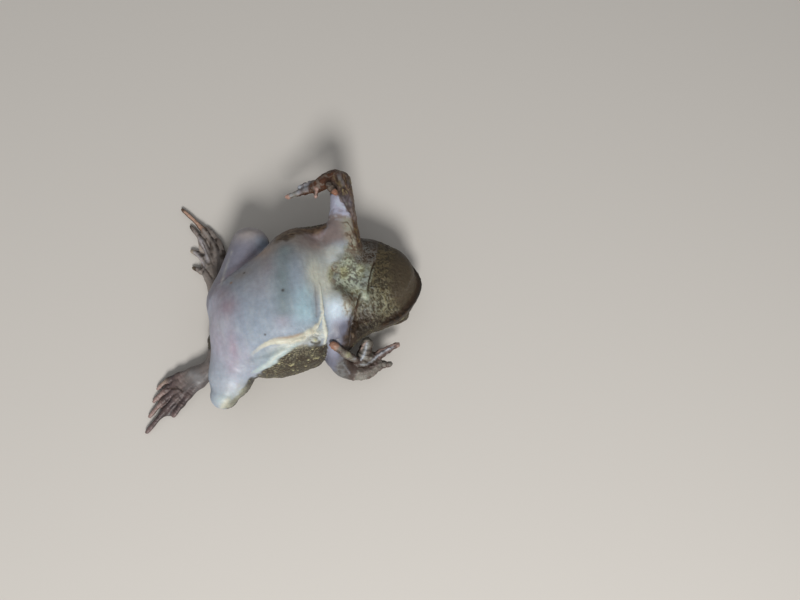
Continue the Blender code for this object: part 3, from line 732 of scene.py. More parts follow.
COLOUR = {
    "belly": (0.30, 0.36, 0.445),
    "rump": (0.40, 0.385, 0.475),
    "knee": (0.42, 0.47, 0.54),
    "thigh": (0.235, 0.235, 0.30),
    "thigh_top": (0.42, 0.38, 0.37),
    "wine": (0.24, 0.15, 0.16),
    "warm": (0.42, 0.30, 0.22),
    "mauve_grey": (0.34, 0.335, 0.37),
    "ash": (0.25, 0.25, 0.26),
    "rose_brown": (0.30, 0.225, 0.21),
    "teal": (0.20, 0.255, 0.28),
    # pale_blue: the colour of a painted highlight on the belly's bulge behind the chest
    "pale_blue": (0.35, 0.50, 0.58),
    "blush": (0.36, 0.275, 0.35),
    "plum": (0.30, 0.23, 0.28),
    "sheen": (0.46, 0.56, 0.56),
    "bone": (0.60, 0.62, 0.54),
    # colour of painted highlights: the chest, the left knee, the left upper arm and the crests of the right
    # forearm's creases
    "highlight_blue": (0.64, 0.76, 0.88),
    "cream": (0.60, 0.585, 0.47),
    "ivory": (0.66, 0.68, 0.60),
    "red_brown": (0.36, 0.20, 0.10),
    "lilac": (0.14, 0.145, 0.195),
    "periwinkle": (0.46, 0.48, 0.62),
    "dun": (0.30, 0.235, 0.18),
    "slate": (0.15, 0.15, 0.14),
    # hollow: the colour of the painted shade in the hollow between the left flank's folds
    "hollow": (0.28, 0.34, 0.385),
    "arm": (0.24, 0.19, 0.18),
    "sage": (0.38, 0.39, 0.31),
    "olive": (0.046, 0.037, 0.022),
    "flank": (0.042, 0.035, 0.021),
    "granule": (0.20, 0.185, 0.12),
    "strip": (0.11, 0.066, 0.034),
    "speck": (0.48, 0.46, 0.26),
    "throat": (0.25, 0.26, 0.18),
    "throat_blue": (0.21, 0.24, 0.24),
    "throat_pale": (0.46, 0.52, 0.40),
    "throat_dark": (0.065, 0.055, 0.032),
    "tan": (0.22, 0.155, 0.095),
    "straw": (0.33, 0.32, 0.13),
    "chin": (0.068, 0.052, 0.024),
    "chin_dark": (0.022, 0.015, 0.007),
    "chin_pale": (0.15, 0.117, 0.064),
    "snout": (0.058, 0.043, 0.025),
    "snout_dark": (0.034, 0.023, 0.012),
    "lip": (0.02, 0.017, 0.012),
    "black": (0.012, 0.007, 0.003),
    "umber": (0.028, 0.014, 0.005),
    "bark": (0.08, 0.036, 0.013),
    "gold": (0.34, 0.27, 0.12),
    "hand": (0.072, 0.026, 0.012),
    "palm": (0.056, 0.034, 0.026),
    "palm_pale": (0.24, 0.235, 0.21),
    "blue_white": (0.42, 0.46, 0.52),
    "orange": (0.34, 0.16, 0.10),
    "pink": (0.62, 0.44, 0.39),
    "flesh": (0.58, 0.38, 0.29),
    "mauve": (0.20, 0.14, 0.136),
    "foot": (0.055, 0.042, 0.040),
    "foot_ridge": (0.30, 0.27, 0.25),
    "foot_warm": (0.026, 0.017, 0.018),
    "web_pale": (0.40, 0.38, 0.40),
    "web": (0.46, 0.40, 0.36),
    "web_blue": (0.072, 0.066, 0.072),
    "toe_pale": (0.36, 0.31, 0.22),
}

# Soft patches of the belly side: their middle in plan, their reach along X and along Y, colour and strength
PATCHES = [
    ((-4.4, 9.8), (4.2, 2.2), "warm", 0.85),
    ((-10.0, 6.2), (2.6, 1.6), "dun", 0.5),
    ((-17.0, -4.5), (3.6, 9.0), "rump", 1.0),
    ((-18.0, -13.5), (4.2, 4.5), "knee", 0.85),
    ((-7.4, 2.6), (3.6, 4.0), "mauve_grey", 0.6),
    ((-4.4, 6.0), (2.2, 2.4), "rose_brown", 0.55),
    ((2.0, 8.6), (4.6, 3.2), "ash", 0.85),
    ((2.6, 12.0), (5.0, 2.4), "dun", 0.8),
    ((5.8, 9.8), (2.8, 2.6), "rose_brown", 0.85),
    ((6.6, 12.6), (2.2, 1.8), "wine", 0.75),
    ((4.2, 10.6), (2.2, 1.4), "rose_brown", 0.7),
    ((-13.8, -0.2), (2.0, 2.4), "plum", 0.75),
    ((-14.6, 3.4), (1.6, 1.8), "plum", 0.6),
    ((-14.5, -8.2), (1.0, 3.0), "blush", 0.8),
    ((-16.0, -11.6), (1.0, 2.2), "blush", 0.5),
    ((-12.2, -10.4), (1.0, 2.4), "blush", 0.35),
    ((-15.9, -3.6), (1.2, 2.0), "knee", 0.5),
    # painted highlight and painted sheen on the left knee, and painted shade in a dent beside them
    ((-15.9, -14.6), (1.4, 2.0), "highlight_blue", 0.3),
    ((-18.6, -17.2), (2.2, 1.4), "sheen", 0.7),
    ((-17.5, -15.3), (0.7, 0.8), "slate", 0.35),
    ((-3.9, -5.9), (1.6, 1.3), "blush", 0.4),
    # painted highlight on the belly's bulge behind the chest, in pale blue
    ((0.6, -4.6), (2.4, 3.2), "pale_blue", 1.0),
    ((1.9, -1.4), (1.8, 2.2), "pale_blue", 0.8),
    ((4.2, 2.4), (2.0, 4.4), "bone", 1.0),
    ((6.8, 1.4), (2.4, 4.4), "bone", 1.0),
    ((6.6, -2.4), (2.0, 3.0), "bone", 0.6),
    # painted highlight on the chest, beside the left arm's root
    ((6.6, -4.8), (2.0, 2.4), "highlight_blue", 0.95),
    # painted shade in the hollow between the left flank's two folds
    ((-8.4, -11.6), (3.6, 1.1), "hollow", 1.0),
    ((9.0, 7.4), (2.4, 1.8), "bone", 0.6),
]
# Small dark marks of the belly: place in plan, radius, colour
MARKS = [((-12.6, 5.0), 0.28, "red_brown"), ((-9.6, 6.2), 0.26, "umber"), ((-2.7, -0.3), 0.30, "umber"),
         ((-7.8, -7.8), 0.2, "umber")]


# ---- sculpting and painting ------------------------------------------------------------------
class Coat:
    """The skin's points while they are sculpted and painted."""

    def __init__(self, skin, part):
        self.mesh, self.part = skin.data, part
        self.points = points_of(self.mesh)
        self.normals = read(self.mesh.vertices, "normal", 3).astype(float)
        self.spread = Spreader(self.mesh)
        self.masks = {}
        self.rise = np.zeros(len(self.points))
        self.tint = np.tile(np.array(COLOUR["belly"]), (len(self.points), 1))
        self.dry = np.zeros(len(self.points))
        self.x, self.y, self.z = self.points.T
        self.up = self.normals[:, 2]
        self.skyward = ramp(-0.15, 0.3, self.up)
        self.middle, self.fine = (noise(self.points, size, seed) for size, seed in ((3.0, 5), (1.1, 7)))
        along, self.across, length = body_place(self.x, self.y)[:3]
        self.ahead = along - length
        self.trunk = self.of(None)

    def of(self, *names, rounds=12):
        """1 on the named parts and 0 elsewhere, with a soft border; None is the head and trunk."""
        if (names, rounds) not in self.masks:
            numbers = [number for part, number in PART.items() if part[0] in names or part in names]
            mask = np.isin(self.part, numbers)
            if None in names:
                mask |= self.part == 0
            self.masks[names, rounds] = self.spread.smooth(mask.astype(float), rounds)
        return self.masks[names, rounds].copy()

    def paint(self, mask, name, strength=1.0):
        mask = np.clip(mask * strength, 0, 1)[:, None]
        self.tint += mask * (np.array(COLOUR[name]) - self.tint)

    def within(self, mask, make):
        """Values made for the points where a mask is, and 0 elsewhere."""
        chosen = mask > 0.01
        values = np.zeros(len(mask))
        values[chosen] = make(self.points[chosen])
        return values

    def blots(self, mask, size, seed, low, high, stretch=(1, 1, 1)):
        """Irregular spots where a mask is, drawn out along an axis by a stretch below 1."""
        return self.within(mask, lambda points: blots(points * stretch, size, seed, low, high))

    def veins(self, mask, size, seed, width, stretch=(1, 1, 1)):
        """A net of winding lines where a mask is, drawn out along an axis by a stretch below 1."""
        return self.within(mask, lambda points: veins(points * stretch, size, seed, width))

    def grains(self, mask, size, seed):
        """Rounded grains where a mask is: their height from 0 to 1, and each one's own number."""
        chosen = mask > 0.01
        height, number = np.zeros((2, len(mask)))
        nearest, number[chosen] = cells(self.points[chosen] / np.array(size), seed)
        height[chosen] = np.clip(1 - (nearest / GRAIN_REACH) ** 2, 0, 1)
        return height, number

    def spot(self, place, reach):
        """A soft round patch in plan, through the whole height of the frog."""
        return np.exp(-((self.x - place[0]) / reach[0]) ** 2 - ((self.y - place[1]) / reach[1]) ** 2)

    def patch(self, place, reach):
        """A soft round patch in plan, on skin that faces up."""
        return self.spot(place, reach) * self.skyward

    def beyond(self, line):
        return beyond(self.points, line)

    def along(self, line):
        """What near_curve says of a line in plan, once it is laid on the skin."""
        return near_curve(self.points, on_skin(self.points, line))

    def finish(self):
        self.points += self.rise[:, None] * self.normals
        self.points[:, 2] = np.maximum(self.points[:, 2], 0)
        set_points(self.mesh, self.points)
        write_colour(self.mesh, "tint", self.tint)
        write_value(self.mesh, "dry", np.clip(self.dry, 0, 1))


def paint_belly(coat):
    """The smooth pale skin of belly, thighs and arms."""
    paint, patch, z, middle = coat.paint, coat.patch, coat.z, coat.middle
    above = ramp(8.0, 11.0, z)
    for place, reach, name, strength in PATCHES:
        paint(patch(place, reach) * (1 + 0.35 * middle) * above, name, strength)
    teal = swell(coat.beyond(TEAL_BAND), 1.9) * ramp(16, 18, z) * coat.trunk
    paint(teal * (1 + 0.3 * middle), "teal", 0.85)
    rump = swell(coat.x + 15.5, 3.2)
    for zone, size, seed, height, light, dark in (
            (rump, 1.3, 61, 0.05, ("blush", 0.35), ("rump", 0.3)),
            (coat.trunk, 0.8, 179, 0.02, ("ivory", 0.14), ("mauve", 0.14))):
        streaks = noise(coat.points * (1, 0.3, 1), size, seed) * zone * above
        paint(streaks, *light)
        paint(-streaks, *dark)
        coat.rise += height * streaks
    for place, radius, name in MARKS:
        paint(patch(place, (radius, radius)) * above, name, 0.9)


def paint_thigh(coat):
    """The right thigh, which is darker than the belly, and the groin's crease beside it."""
    paint, patch = coat.paint, coat.patch
    thigh = coat.of(("thigh", "right"))
    paint(thigh, "thigh", 0.95)
    paint(thigh * patch((-7.4, 16.6), (4.0, 2.0)), "thigh_top", 0.9)
    paint(thigh * patch((-5.0, 13.9), (1.5, 1.8)), "belly", 0.8)
    distance, share = coat.along(GROIN)[:2]
    coat.rise -= 0.18 * swell(distance, 0.5) * fade(share, 0.1, 0.8)
    groin = swell(coat.beyond(GROIN), 0.9) * coat.skyward * ramp(8.0, 11.0, coat.z)
    paint(groin * ramp(-5.0, -9.0, coat.x) * (0.7 + 0.5 * coat.fine), "wine", 0.35)


def arm_mask(coat, word):
    return coat.of(("upper_arm", word), ("forearm", word), ("hand", word))


def paint_right_arm(coat):
    """The raised arm's pale inner side and its mottled shoulder."""
    paint, x, y = coat.paint, coat.x, coat.y
    right = arm_mask(coat, "right")
    paint(right * ramp(8.0, 10.5, y), "arm", 0.95)
    inner = ramp(14.6, 15.8, y + 0.5 * (x - 12.5) + 0.5 * coat.fine)
    paint(right * inner, "periwinkle", 0.9)
    mottled = right * swell(x - 13.4, 1.3) * ramp(15.4, 13.6, y) * coat.skyward
    mottled *= ramp(5.0, 8.0, y)
    paint(mottled, "sage", 0.75)
    paint(mottled * coat.blots(mottled, 0.55, 141, 0.0, 0.25), "dun", 0.8)
    paint(mottled * coat.veins(mottled, 1.1, 145, 0.2), "bark", 0.8)


def paint_left_arm(coat):
    """The folded arm: lilac down to the elbow, then darker to the wrist, with a painted highlight on the
    upper arm and painted shade in the elbow's crease.
    """
    paint, patch, x, y, fine = coat.paint, coat.patch, coat.x, coat.y, coat.fine
    left = arm_mask(coat, "left")
    paint(left * ramp(-6.2, -8.0, y), "periwinkle", 0.6)
    paint(left * ramp(-6.6, -8.8, y), "lilac", 1.0)
    paint(left * ramp(-12.2, -13.6, y), "lilac", 0.6)
    # painted highlight on the upper arm
    paint(left * patch((4.4, -7.6), (1.0, 2.0)), "highlight_blue", 0.4)
    paint(left * patch((4.5, -12.2), (1.1, 1.2)), "periwinkle", 0.55)
    wrist = left * ramp(-1.0, 0.9, x - y - 20.0 + 0.9 * fine) * ramp(-12.0, -13.4, y)
    paint(wrist, "slate", 0.8)
    paint(wrist * coat.blots(wrist, 0.5, 181, -0.1, 0.3), "umber", 0.45)
    paint(wrist * ramp(6.0, 7.2, x + 0.3 * fine), "palm", 0.85)
    elbow = left * swell(y + 10.9 + 0.25 * coat.middle, 0.3) * coat.skyward * ramp(8.0, 6.0, x)
    coat.rise -= 0.12 * elbow
    # painted shade: the elbow's crease is painted darker
    paint(elbow, "slate", 0.35)


def paint_arm_backs(coat):
    """The dark outer side of each arm, with the left shoulder and neck, a painted glint on the right forearm,
    and creases across it with painted highlights on their crests and painted shade in their troughs.
    """
    paint, patch, x, y, up = coat.paint, coat.patch, coat.x, coat.y, coat.up
    middle, fine = coat.middle, coat.fine
    right, left = arm_mask(coat, "right"), arm_mask(coat, "left")
    seam = -coat.beyond(ARM_SEAM) + 0.5 * fine + 0.3 * middle
    elbow = ramp(19.6, 20.6, y + 0.5 * (x - 13) + 0.5 * fine)
    shoulder = ramp(-0.5, 1.1, 0.7 * fine - coat.beyond(SHOULDER_EDGE)) * ramp(-3.0, -5.0, y)
    shoulder *= ramp(-14.2, -13.2, y) * ramp(0.2, -0.3, coat.beyond(GULAR_FOLD))
    under = ramp(0.05, -0.3, up + 0.15 * fine) * ramp(-13.6, -12.6, y)
    outer = np.max([right * ramp(-0.3, 0.4, seam) * ramp(6.0, 9.0, y), right * ramp(0.1, -0.3, up),
                    right * elbow, left * under, left * shoulder, coat.trunk * shoulder], axis=0)
    neck = coat.trunk * ramp(7.5, 9.0, x) * ramp(-6.0, -8.0, y) * ramp(0.5, 0.1, up)
    paint(neck, "umber", 0.95)
    paint(outer, "bark", 0.95)
    paint(outer * coat.blots(outer, 0.7, 143, -0.1, 0.3), "umber", 0.75)
    paint(outer * shoulder, "umber", 0.6)
    pale = outer * right * ramp(16.0, 15.0, x)
    pale *= ramp(13.0, 15.0, y) * ramp(21.0, 18.0, y)
    paint(pale * ramp(-0.5, 0.1, fine), "arm", 0.85)
    paint(pale * ramp(0.0, 0.4, middle), "lilac", 0.5)
    paint(pale * coat.veins(pale, 1.1, 187, 0.22, (1, 0.5, 1)), "umber", 0.6)
    flecks = coat.blots(outer, 0.4, 147, 0.3, 0.5, (1, 0.5, 0.7))
    lace = coat.veins(outer, 0.9, 163, 0.16, (1, 0.7, 1))
    gilt = np.clip(flecks * (0.6 + middle) + 0.3 * lace, 0, 1)
    paint(outer * right * (1 - pale) * gilt, "gold", 0.75)
    paint(outer * (1 - right), "black", 0.6)
    paint(outer * (1 - right) * flecks, "tan", 0.35)
    height = coat.grains(outer, (0.6, 0.9, 0.8), 71)[0]
    coat.rise += outer * (0.09 * (height - 0.5) + 0.05 * flecks)
    coat.dry += outer
    knob = right * patch((14.4, 23.4), (1.5, 1.9))
    stripes = noise(coat.points * (1, 0.35, 1), 0.6, 165)
    paint(knob * ramp(-0.1, 0.25, stripes), "ash", 0.5)
    paint(knob * ramp(-0.1, -0.3, stripes), "umber", 0.7)
    # painted glint: a small highlight on the right forearm
    paint(right * patch((13.3, 17.6), (0.7, 0.35)) * ramp(-0.2, 0.3, fine), "ivory", 0.8)
    zone = right * swell(y - 17.0, 2.2) * (1 - outer)
    creases = coat.within(zone, lambda p: noise(p * (0.45, 1.0, 1.0) + 0.35 * p[:, :1] * (0, 1, 0), 0.8, 91))
    coat.rise += 0.1 * creases * zone
    # painted highlights on the creases' crests and painted shade in their troughs
    paint(zone * ramp(0.2, 0.5, creases), "highlight_blue", 0.45)
    paint(zone * ramp(-0.2, -0.5, creases), "mauve", 0.4)


def paint_throat(coat):
    """The patterned throat behind the fold. Returns how dark its spots are."""
    paint, patch, x, middle, fine = coat.paint, coat.patch, coat.x, coat.middle, coat.fine
    fold = coat.beyond(GULAR_FOLD)
    chest = coat.of(None, "upper_arm")
    reach = coat.beyond(THROAT_REAR) + 0.6 * middle + 0.6 * fine
    throat = ramp(-0.7, 1.0, reach) * chest * ramp(7.0, 9.0, coat.z)
    upper = ramp(3.0, 6.0, coat.y + 0.4 * (x - 14)) * ramp(11.5, 13.5, x)
    waves = coat.veins(throat * upper, 0.3, 171, 0.5, (0.55, 1, 1))
    hue = coat.within(throat, lambda p: noise(p, 1.7, 103))
    spots = coat.blots(throat, 0.62, 111, 0.02, 0.26)
    specks = coat.blots(throat, 0.36, 117, 0.05, 0.25)
    net = coat.veins(throat, 0.8, 119, 0.3)
    paint(throat, "throat", 0.92)
    paint(throat * ramp(0.0, 0.35, hue), "straw", 0.5)
    paint(throat * ramp(0.0, -0.35, hue), "throat_blue", 0.75)
    paint(throat * ramp(0.2, -0.2, middle) * (1 - spots), "throat_pale", 0.6)
    paint(throat * swell(fold + 1.4, 0.9) * (1 - 0.6 * spots), "throat_blue", 0.6)
    dark = np.clip(0.6 * spots + 0.6 * specks + 0.3 * (1 - net) * ramp(0.2, -0.1, fine), 0, 1)
    paint(throat * dark, "throat_dark", 0.74)
    paint(throat * upper, "bark", 0.9)
    paint(throat * upper * (1 - waves), "umber", 0.85)
    paint(throat * upper * waves * ramp(-0.6, 0.2, middle), "throat_blue", 0.75)
    border = throat * swell(reach - 0.2, 0.9)
    paint(border * (0.25 + 0.6 * spots), "dun", 0.6)
    brown = 0.6 * patch((8.3, 3.6), (0.8, 0.8))
    brown += patch((10.2, -3.9), (1.3, 2.4)) + patch((13.9, 7.8), (1.2, 1.4))
    brown = np.clip(throat * brown, 0, 1)
    paint(brown * (0.5 + 0.5 * spots), "tan", 0.8)
    paint(brown * np.clip(spots + specks, 0, 1), "bark", 0.75)
    hem = patch((9.0, -5.2), (0.8, 1.9)) * chest * coat.skyward
    paint(hem, "bone", 0.7)
    paint(hem * coat.blots(hem, 0.5, 173, 0.0, 0.3), "tan", 0.8)
    gap = patch((19.2, 9.6), (2.2, 2.0)) + patch((15.0, 10.6), (1.8, 1.4))
    gap = np.clip(gap * (1.1 + 0.5 * fine), 0, 1) * chest * coat.skyward
    paint(gap * ramp(8.2, 9.2, x), "umber", 0.85)
    coat.rise += throat * (0.06 * (1 - dark) + 0.03 * net)
    coat.dry += 0.6 * throat
    return dark


def paint_chin(coat):
    """The grainy chin in front of the fold, the dark jaw on its left and the smooth snout."""
    paint, patch, x, y, z = coat.paint, coat.patch, coat.x, coat.y, coat.z
    middle, fine = coat.middle, coat.fine
    fold, chin_rear = coat.beyond(GULAR_FOLD), coat.beyond(CHIN_REAR)
    chin = ramp(-0.15, 0.35, fold) * coat.trunk * ramp(-0.3, 0.1, z - mouth_height(coat.across))
    paint(chin, "chin", 0.97)
    snout = ramp(-1.4, 0.9, chin_rear + 0.9 * fine) * chin
    grainy = chin * (1 - snout)
    lines = coat.within(chin, lambda p: winding_lines(p, beyond(p, CHIN_REAR), 0.8, 121))
    mesh = coat.veins(chin, 0.62, 123, 0.42)
    grit = coat.within(chin, lambda p: noise(warped(p, 0.4, 125), 0.42, 126))
    mixed = np.clip(mesh * ramp(-0.5, 0.2, grit) + 0.5 * ramp(0.2, 0.8, lines), 0, 1)
    low = patch((16.0, -4.6), (4.2, 4.2))
    paint(grainy * mixed * (0.6 + 0.6 * middle + 0.35 * low), "chin_pale", 0.75)
    paint(grainy * ramp(0.1, -0.2, grit) * (1 - 0.3 * low), "chin_dark", 0.85)
    paint(grainy * low * mixed, "throat_pale", 0.28)
    paint(grainy * patch((13.2, -6.0), (2.0, 3.0)) * mixed, "throat_blue", 0.5)
    paint(grainy * ramp(0.35, 0.6, grit) * ramp(-0.2, 0.3, middle), "straw", 0.25)
    edge = ramp(-6.2, -9.0, coat.across + 0.8 * middle)
    paint(grainy * edge * (0.85 + 0.5 * fine), "umber", 0.8)
    corner = ramp(15.0, 12.0, x + 0.8 * middle) * ramp(-6.5, -8.5, y)
    paint(grainy * corner, "umber", 0.6)
    shade = patch((11.0, -10.6), (3.4, 2.6)) + patch((14.8, -9.0), (2.4, 1.2))
    shade = np.clip(shade * (1.2 + 0.5 * fine), 0, 1) * coat.trunk * ramp(8.2, 9.2, x)
    paint(shade, "black", 0.9)
    paint(shade * mixed * ramp(0.0, 0.4, fine), "bark", 0.5)
    jaw = np.clip(coat.spot((13.6, -8.4), (3.4, 1.8)) + coat.spot((17.6, -7.6), (2.6, 1.6)), 0, 1)
    jaw *= coat.trunk * ramp(7.4, 8.2, z)
    paint(jaw * coat.blots(jaw, 0.27, 183, 0.1, 0.35), "granule", 0.4)
    high = grainy * ramp(4.0, 8.0, y)
    paint(high * ramp(0.1, -0.2, fine), "umber", 0.6)
    paint(snout, "snout", 0.95)
    paint(snout * ramp(0.2, -0.4, grit) * ramp(3.0, 0.0, chin_rear), "snout_dark", 0.7)
    coat.rise += grainy * (0.06 * mixed + 0.05 * grit + 0.2 * edge * fine)
    coat.dry += grainy + 0.4 * snout


def crease_throat(coat, dark):
    """The two deep creases of the fold, each with a pale roll behind it and a line of painted shade in the
    crease.
    """
    paint, fine = coat.paint, coat.fine
    for line in THROAT_CREASES:
        distance, share, side = coat.along(line)
        side = side + 0.12 * fine
        ends = fade(share, 0.15, 0.85) * coat.trunk
        coat.rise += ends * (0.24 * swell(side + 0.7, 0.6) - 0.34 * swell(side, 0.2)) * (distance < 3)
        pale = swell(side + 0.6, 0.4) * ends * (distance < 2) * ramp(0.3, 0.5, share)
        paint(pale * (1 - 0.7 * dark), "throat_blue", 0.4)
        # painted shade: a dark line along the bottom of each crease
        paint(swell(side, 0.24) * ends * (distance < 1), "umber", 1.0)
    paint(coat.patch((13.6, -2.9), (0.7, 1.0)) * (1 + 0.5 * fine), "throat_pale", 0.7)


def paint_mouth(coat):
    """The dark lip and the mouth's line along it."""
    paint = coat.paint
    mouth = ramp(-MOUTH_LENGTH - 1, -MOUTH_LENGTH + 1, coat.ahead) * coat.trunk
    above = coat.z - mouth_height(coat.across)
    lip = ramp(-MOUTH_LENGTH - 3, -MOUTH_LENGTH, coat.ahead) * coat.trunk
    lip *= ramp(0.3, 0.0, above) * ramp(-2.6, -1.2, above)
    paint(lip, "lip", 0.95)
    side_lip = lip * ramp(-3.0, -5.0, coat.across)
    paint(side_lip, "black", 0.9)
    paint(side_lip * coat.veins(side_lip, 0.8, 167, 0.3), "bark", 0.4)
    coat.dry += side_lip + 0.5 * lip
    coat.rise += 0.1 * side_lip * coat.fine
    paint(mouth * swell(above - 0.1, 0.16), "umber", 0.85)
    coat.rise -= mouth * 0.2 * swell(above - 0.05, 0.18)


def paint_back(coat):
    """The dark, warty skin of the flanks and the back, which lies underneath.

    Returns where it is, and how far each point is past the flank's edge.
    """
    paint, x, z, fine = coat.paint, coat.x, coat.z, coat.fine
    left, right = (np.interp(x, *np.array(BACK_EDGE[word]).T) for word in ("left", "right"))
    flank = coat.beyond(FLANK_EDGE) * ramp(7.0, 6.0, x) - 5 * ramp(6.0, 7.0, x)
    left = np.where(x > 9.0, np.maximum(left, mouth_height(coat.across) + 0.5), left)
    edge = np.where(coat.across < 0, np.maximum(left - z, flank), right - z)
    body = coat.of(None, "thigh", "shank", rounds=6)
    back = ramp(-0.3, 0.35, edge + 0.35 * fine + 0.2 * coat.middle)
    back = np.clip(back + ramp(0.0, -0.4, coat.up), 0, 1) * body
    mouth = ramp(-MOUTH_LENGTH - 3, -MOUTH_LENGTH, coat.ahead) * coat.trunk
    back *= 1 - mouth * ramp(-2.6, -1.2, z - mouth_height(coat.across))
    paint(back, "olive", 0.97)
    paint(back * ramp(2.0, 6.0, z) * ramp(-19.5, -16.5, x), "flank", 0.8)
    height, number = coat.grains(back, (0.46, 0.36, 0.4), 37)
    big, big_number = coat.grains(back, 2.6, 31)
    crowd = ramp(4.0, -1.0, x) * ramp(3.0, 0.3, flank) * ramp(-12.0, -7.0, x)
    granule = ramp(0.25, 0.6, height) * ramp(0.8, 0.5, number - 0.4 * crowd)
    wild = coat.within(back, lambda p: noise(warped(p, 0.7, 67), 0.9, 69))
    paint(back * ramp(0.1, -0.3, wild), "umber", 0.5)
    paint(back * granule * (0.4 + 0.7 * crowd) * ramp(-0.5 - crowd, 0.3, wild), "granule", 0.7)
    paint(back * ramp(-9.0, -12.0, x) * ramp(3.0, 7.0, z), "slate", 0.35)
    specks = coat.blots(back, 0.32, 149, 0.45, 0.55, (0.7, 1, 1))
    paint(back * specks, "speck", 0.55)
    ridge = swell(coat.beyond(FLANK_RIDGE), 0.22) * (z > 7) * ramp(-0.3, 0.2, fine)
    warts = np.zeros(len(x))
    for place in FLANK_WARTS:
        offset = (coat.points - place_on_skin(coat.points, *place)) * (0.75, 1, 1)
        gap = np.linalg.norm(offset, axis=1) * (1 + 0.6 * fine)
        warts = np.maximum(warts, swell(gap, 0.16))
    warts = np.maximum(warts, 0.8 * ridge * ramp(0.1, 0.4, fine))
    paint(back * warts, "speck", 0.95)
    bumps = 0.2 * big * (big_number > 0.45) * ramp(12, 6, z)
    coat.rise += back * (0.1 * (height - 0.4) + bumps + 0.06 * specks + 0.16 * warts)
    coat.dry += back
    return back, flank


def sculpt_lids(coat):
    """A lid round each eye, with a dark rim inside it."""
    paint = coat.paint
    for side in (1, -1):
        gap = np.linalg.norm(coat.points - eye_centre(side), axis=1) - EYE_R
        coat.rise += 0.22 * swell(gap - 0.45, 0.3) - 0.12 * swell(gap - 1.1, 0.25)
        paint(swell(gap - 0.2, 0.25), "black", 0.8)
        paint(swell(gap - 1.1, 0.2), "umber", 0.5)


def paint_right_side(coat, back):
    """The dark strip along the right side, below the raised arm."""
    paint = coat.paint
    strip = ramp(-0.6, 0.8, coat.beyond(RIGHT_EDGE) + 0.8 + 0.5 * coat.fine + 0.4 * coat.middle)
    strip *= coat.trunk * ramp(-5.0, -1.0, coat.x) * ramp(9.0, 10.5, coat.z) * (1 - back)
    paint(strip, "strip", 0.95)
    grooves = coat.within(strip, lambda p: noise(warped(p, 0.7, 153) * (0.35, 1, 1), 0.6, 155))
    paint(strip * ramp(0.1, 0.5, grooves), "tan", 0.7)
    paint(strip * ramp(-0.1, -0.4, grooves), "umber", 0.7)
    coat.rise += 0.12 * strip * grooves
    coat.dry += strip


def paint_knee_rim(coat, flank):
    """The pale rim where the left knee's skin turns into the flank's."""
    paint, fine = coat.paint, coat.fine
    rim = ramp(-13.0, -15.5, coat.x) * coat.skyward * coat.of(None, "thigh")
    paint(rim * swell(flank - 0.1, 0.9) * (0.7 + 0.5 * fine), "sage", 0.85)
    paint(rim * swell(flank + 0.5, 0.45) * ramp(-0.2, 0.4, fine), "cream", 0.5)


def lay_fold(coat, line, heights, widths, name, strength, hollow=0.0):
    """A ridge of skin along a line: its height and its half width run from the first to the last value."""
    fine = coat.fine
    share, side = coat.along(line)[1:]
    shares = np.linspace(0, 1, len(heights))
    height, width = np.interp(share, shares, heights), np.interp(share, shares, widths)
    side = side + 0.25 * width * coat.middle
    ridge = swell(side * (1 + 0.25 * fine), width)
    coat.rise += height * ridge * (1 + 0.2 * fine) - hollow * height * swell(side - 1.7 * width, 0.6 * width)
    coat.paint(ramp(0.2, 0.8, ridge) * np.clip(height / 0.15, 0, 1), name, strength)
    return side, share, ridge


def paint_flank_folds(coat):
    """The two loose folds of skin from behind the left arm to the flank, and the web between them, with
    painted highlights along the lower fold and on the wrinkles' crests, a painted shadow along the upper fold
    and painted shade in the wrinkles' troughs.
    """
    paint, patch = coat.paint, coat.patch
    web = patch((-4.4, -10.7), (2.6, 0.7)) + patch((-0.6, -10.1), (2.4, 0.9))
    paint(np.clip(web, 0, 1), "ivory", 0.7)
    coat.rise -= 0.35 * patch((-8.4, -11.4), (2.8, 0.8))
    heights, widths = (0.1, 0.2, 0.3, 0.3, 0.22, 0.0), (0.6, 0.9, 1.1, 1.0, 0.7, 0.4)
    # the lower fold's ridge is painted in sheen, a painted highlight
    side, share, ridge = lay_fold(coat, LOWER_FOLD, heights, widths, "sheen", 0.75)
    crest = swell(side + 0.2, 0.35) * ramp(0.0, 0.3, share) * ramp(0.9, 0.5, share)
    # painted highlight along the lower fold's crest
    paint(crest * ridge, "ivory", 0.5)
    heights, widths = (0.25, 0.3, 0.3, 0.24, 0.12, 0.0), (0.6, 0.7, 0.9, 0.75, 0.5, 0.3)
    side, share = lay_fold(coat, UPPER_FOLD, heights, widths, "cream", 0.9, 0.5)[:2]
    shade = ramp(0.25, 0.35, share) * ramp(0.7, 0.5, share) * (np.abs(side) < 2)
    # painted shadow: a red-brown line along the upper fold's belly side
    paint(swell(side + 0.65, 0.25) * shade, "red_brown", 0.5)
    paint(patch((1.8, -9.2), (1.6, 1.0)), "ivory", 0.85)
    paint(patch((1.0, -8.9), (0.9, 0.55)), "cream", 0.9)
    coat.rise += 0.2 * patch((1.0, -8.9), (0.8, 0.5))
    wrinkles = noise(warped(coat.points, 0.6, 133) * (0.6, 1.3, 1), 0.6, 131)
    crumpled = patch((1.2, -9.6), (2.6, 1.3)) + 0.5 * patch((-4.0, -10.6), (3.4, 0.8))
    crumpled = np.clip(crumpled, 0, 1)
    coat.rise += 0.18 * crumpled * wrinkles
    # painted shade in the wrinkles' troughs and painted highlights on their crests
    paint(crumpled * ramp(0.0, -0.4, wrinkles), "slate", 0.45)
    paint(crumpled * ramp(0.2, 0.5, wrinkles), "ivory", 0.6)


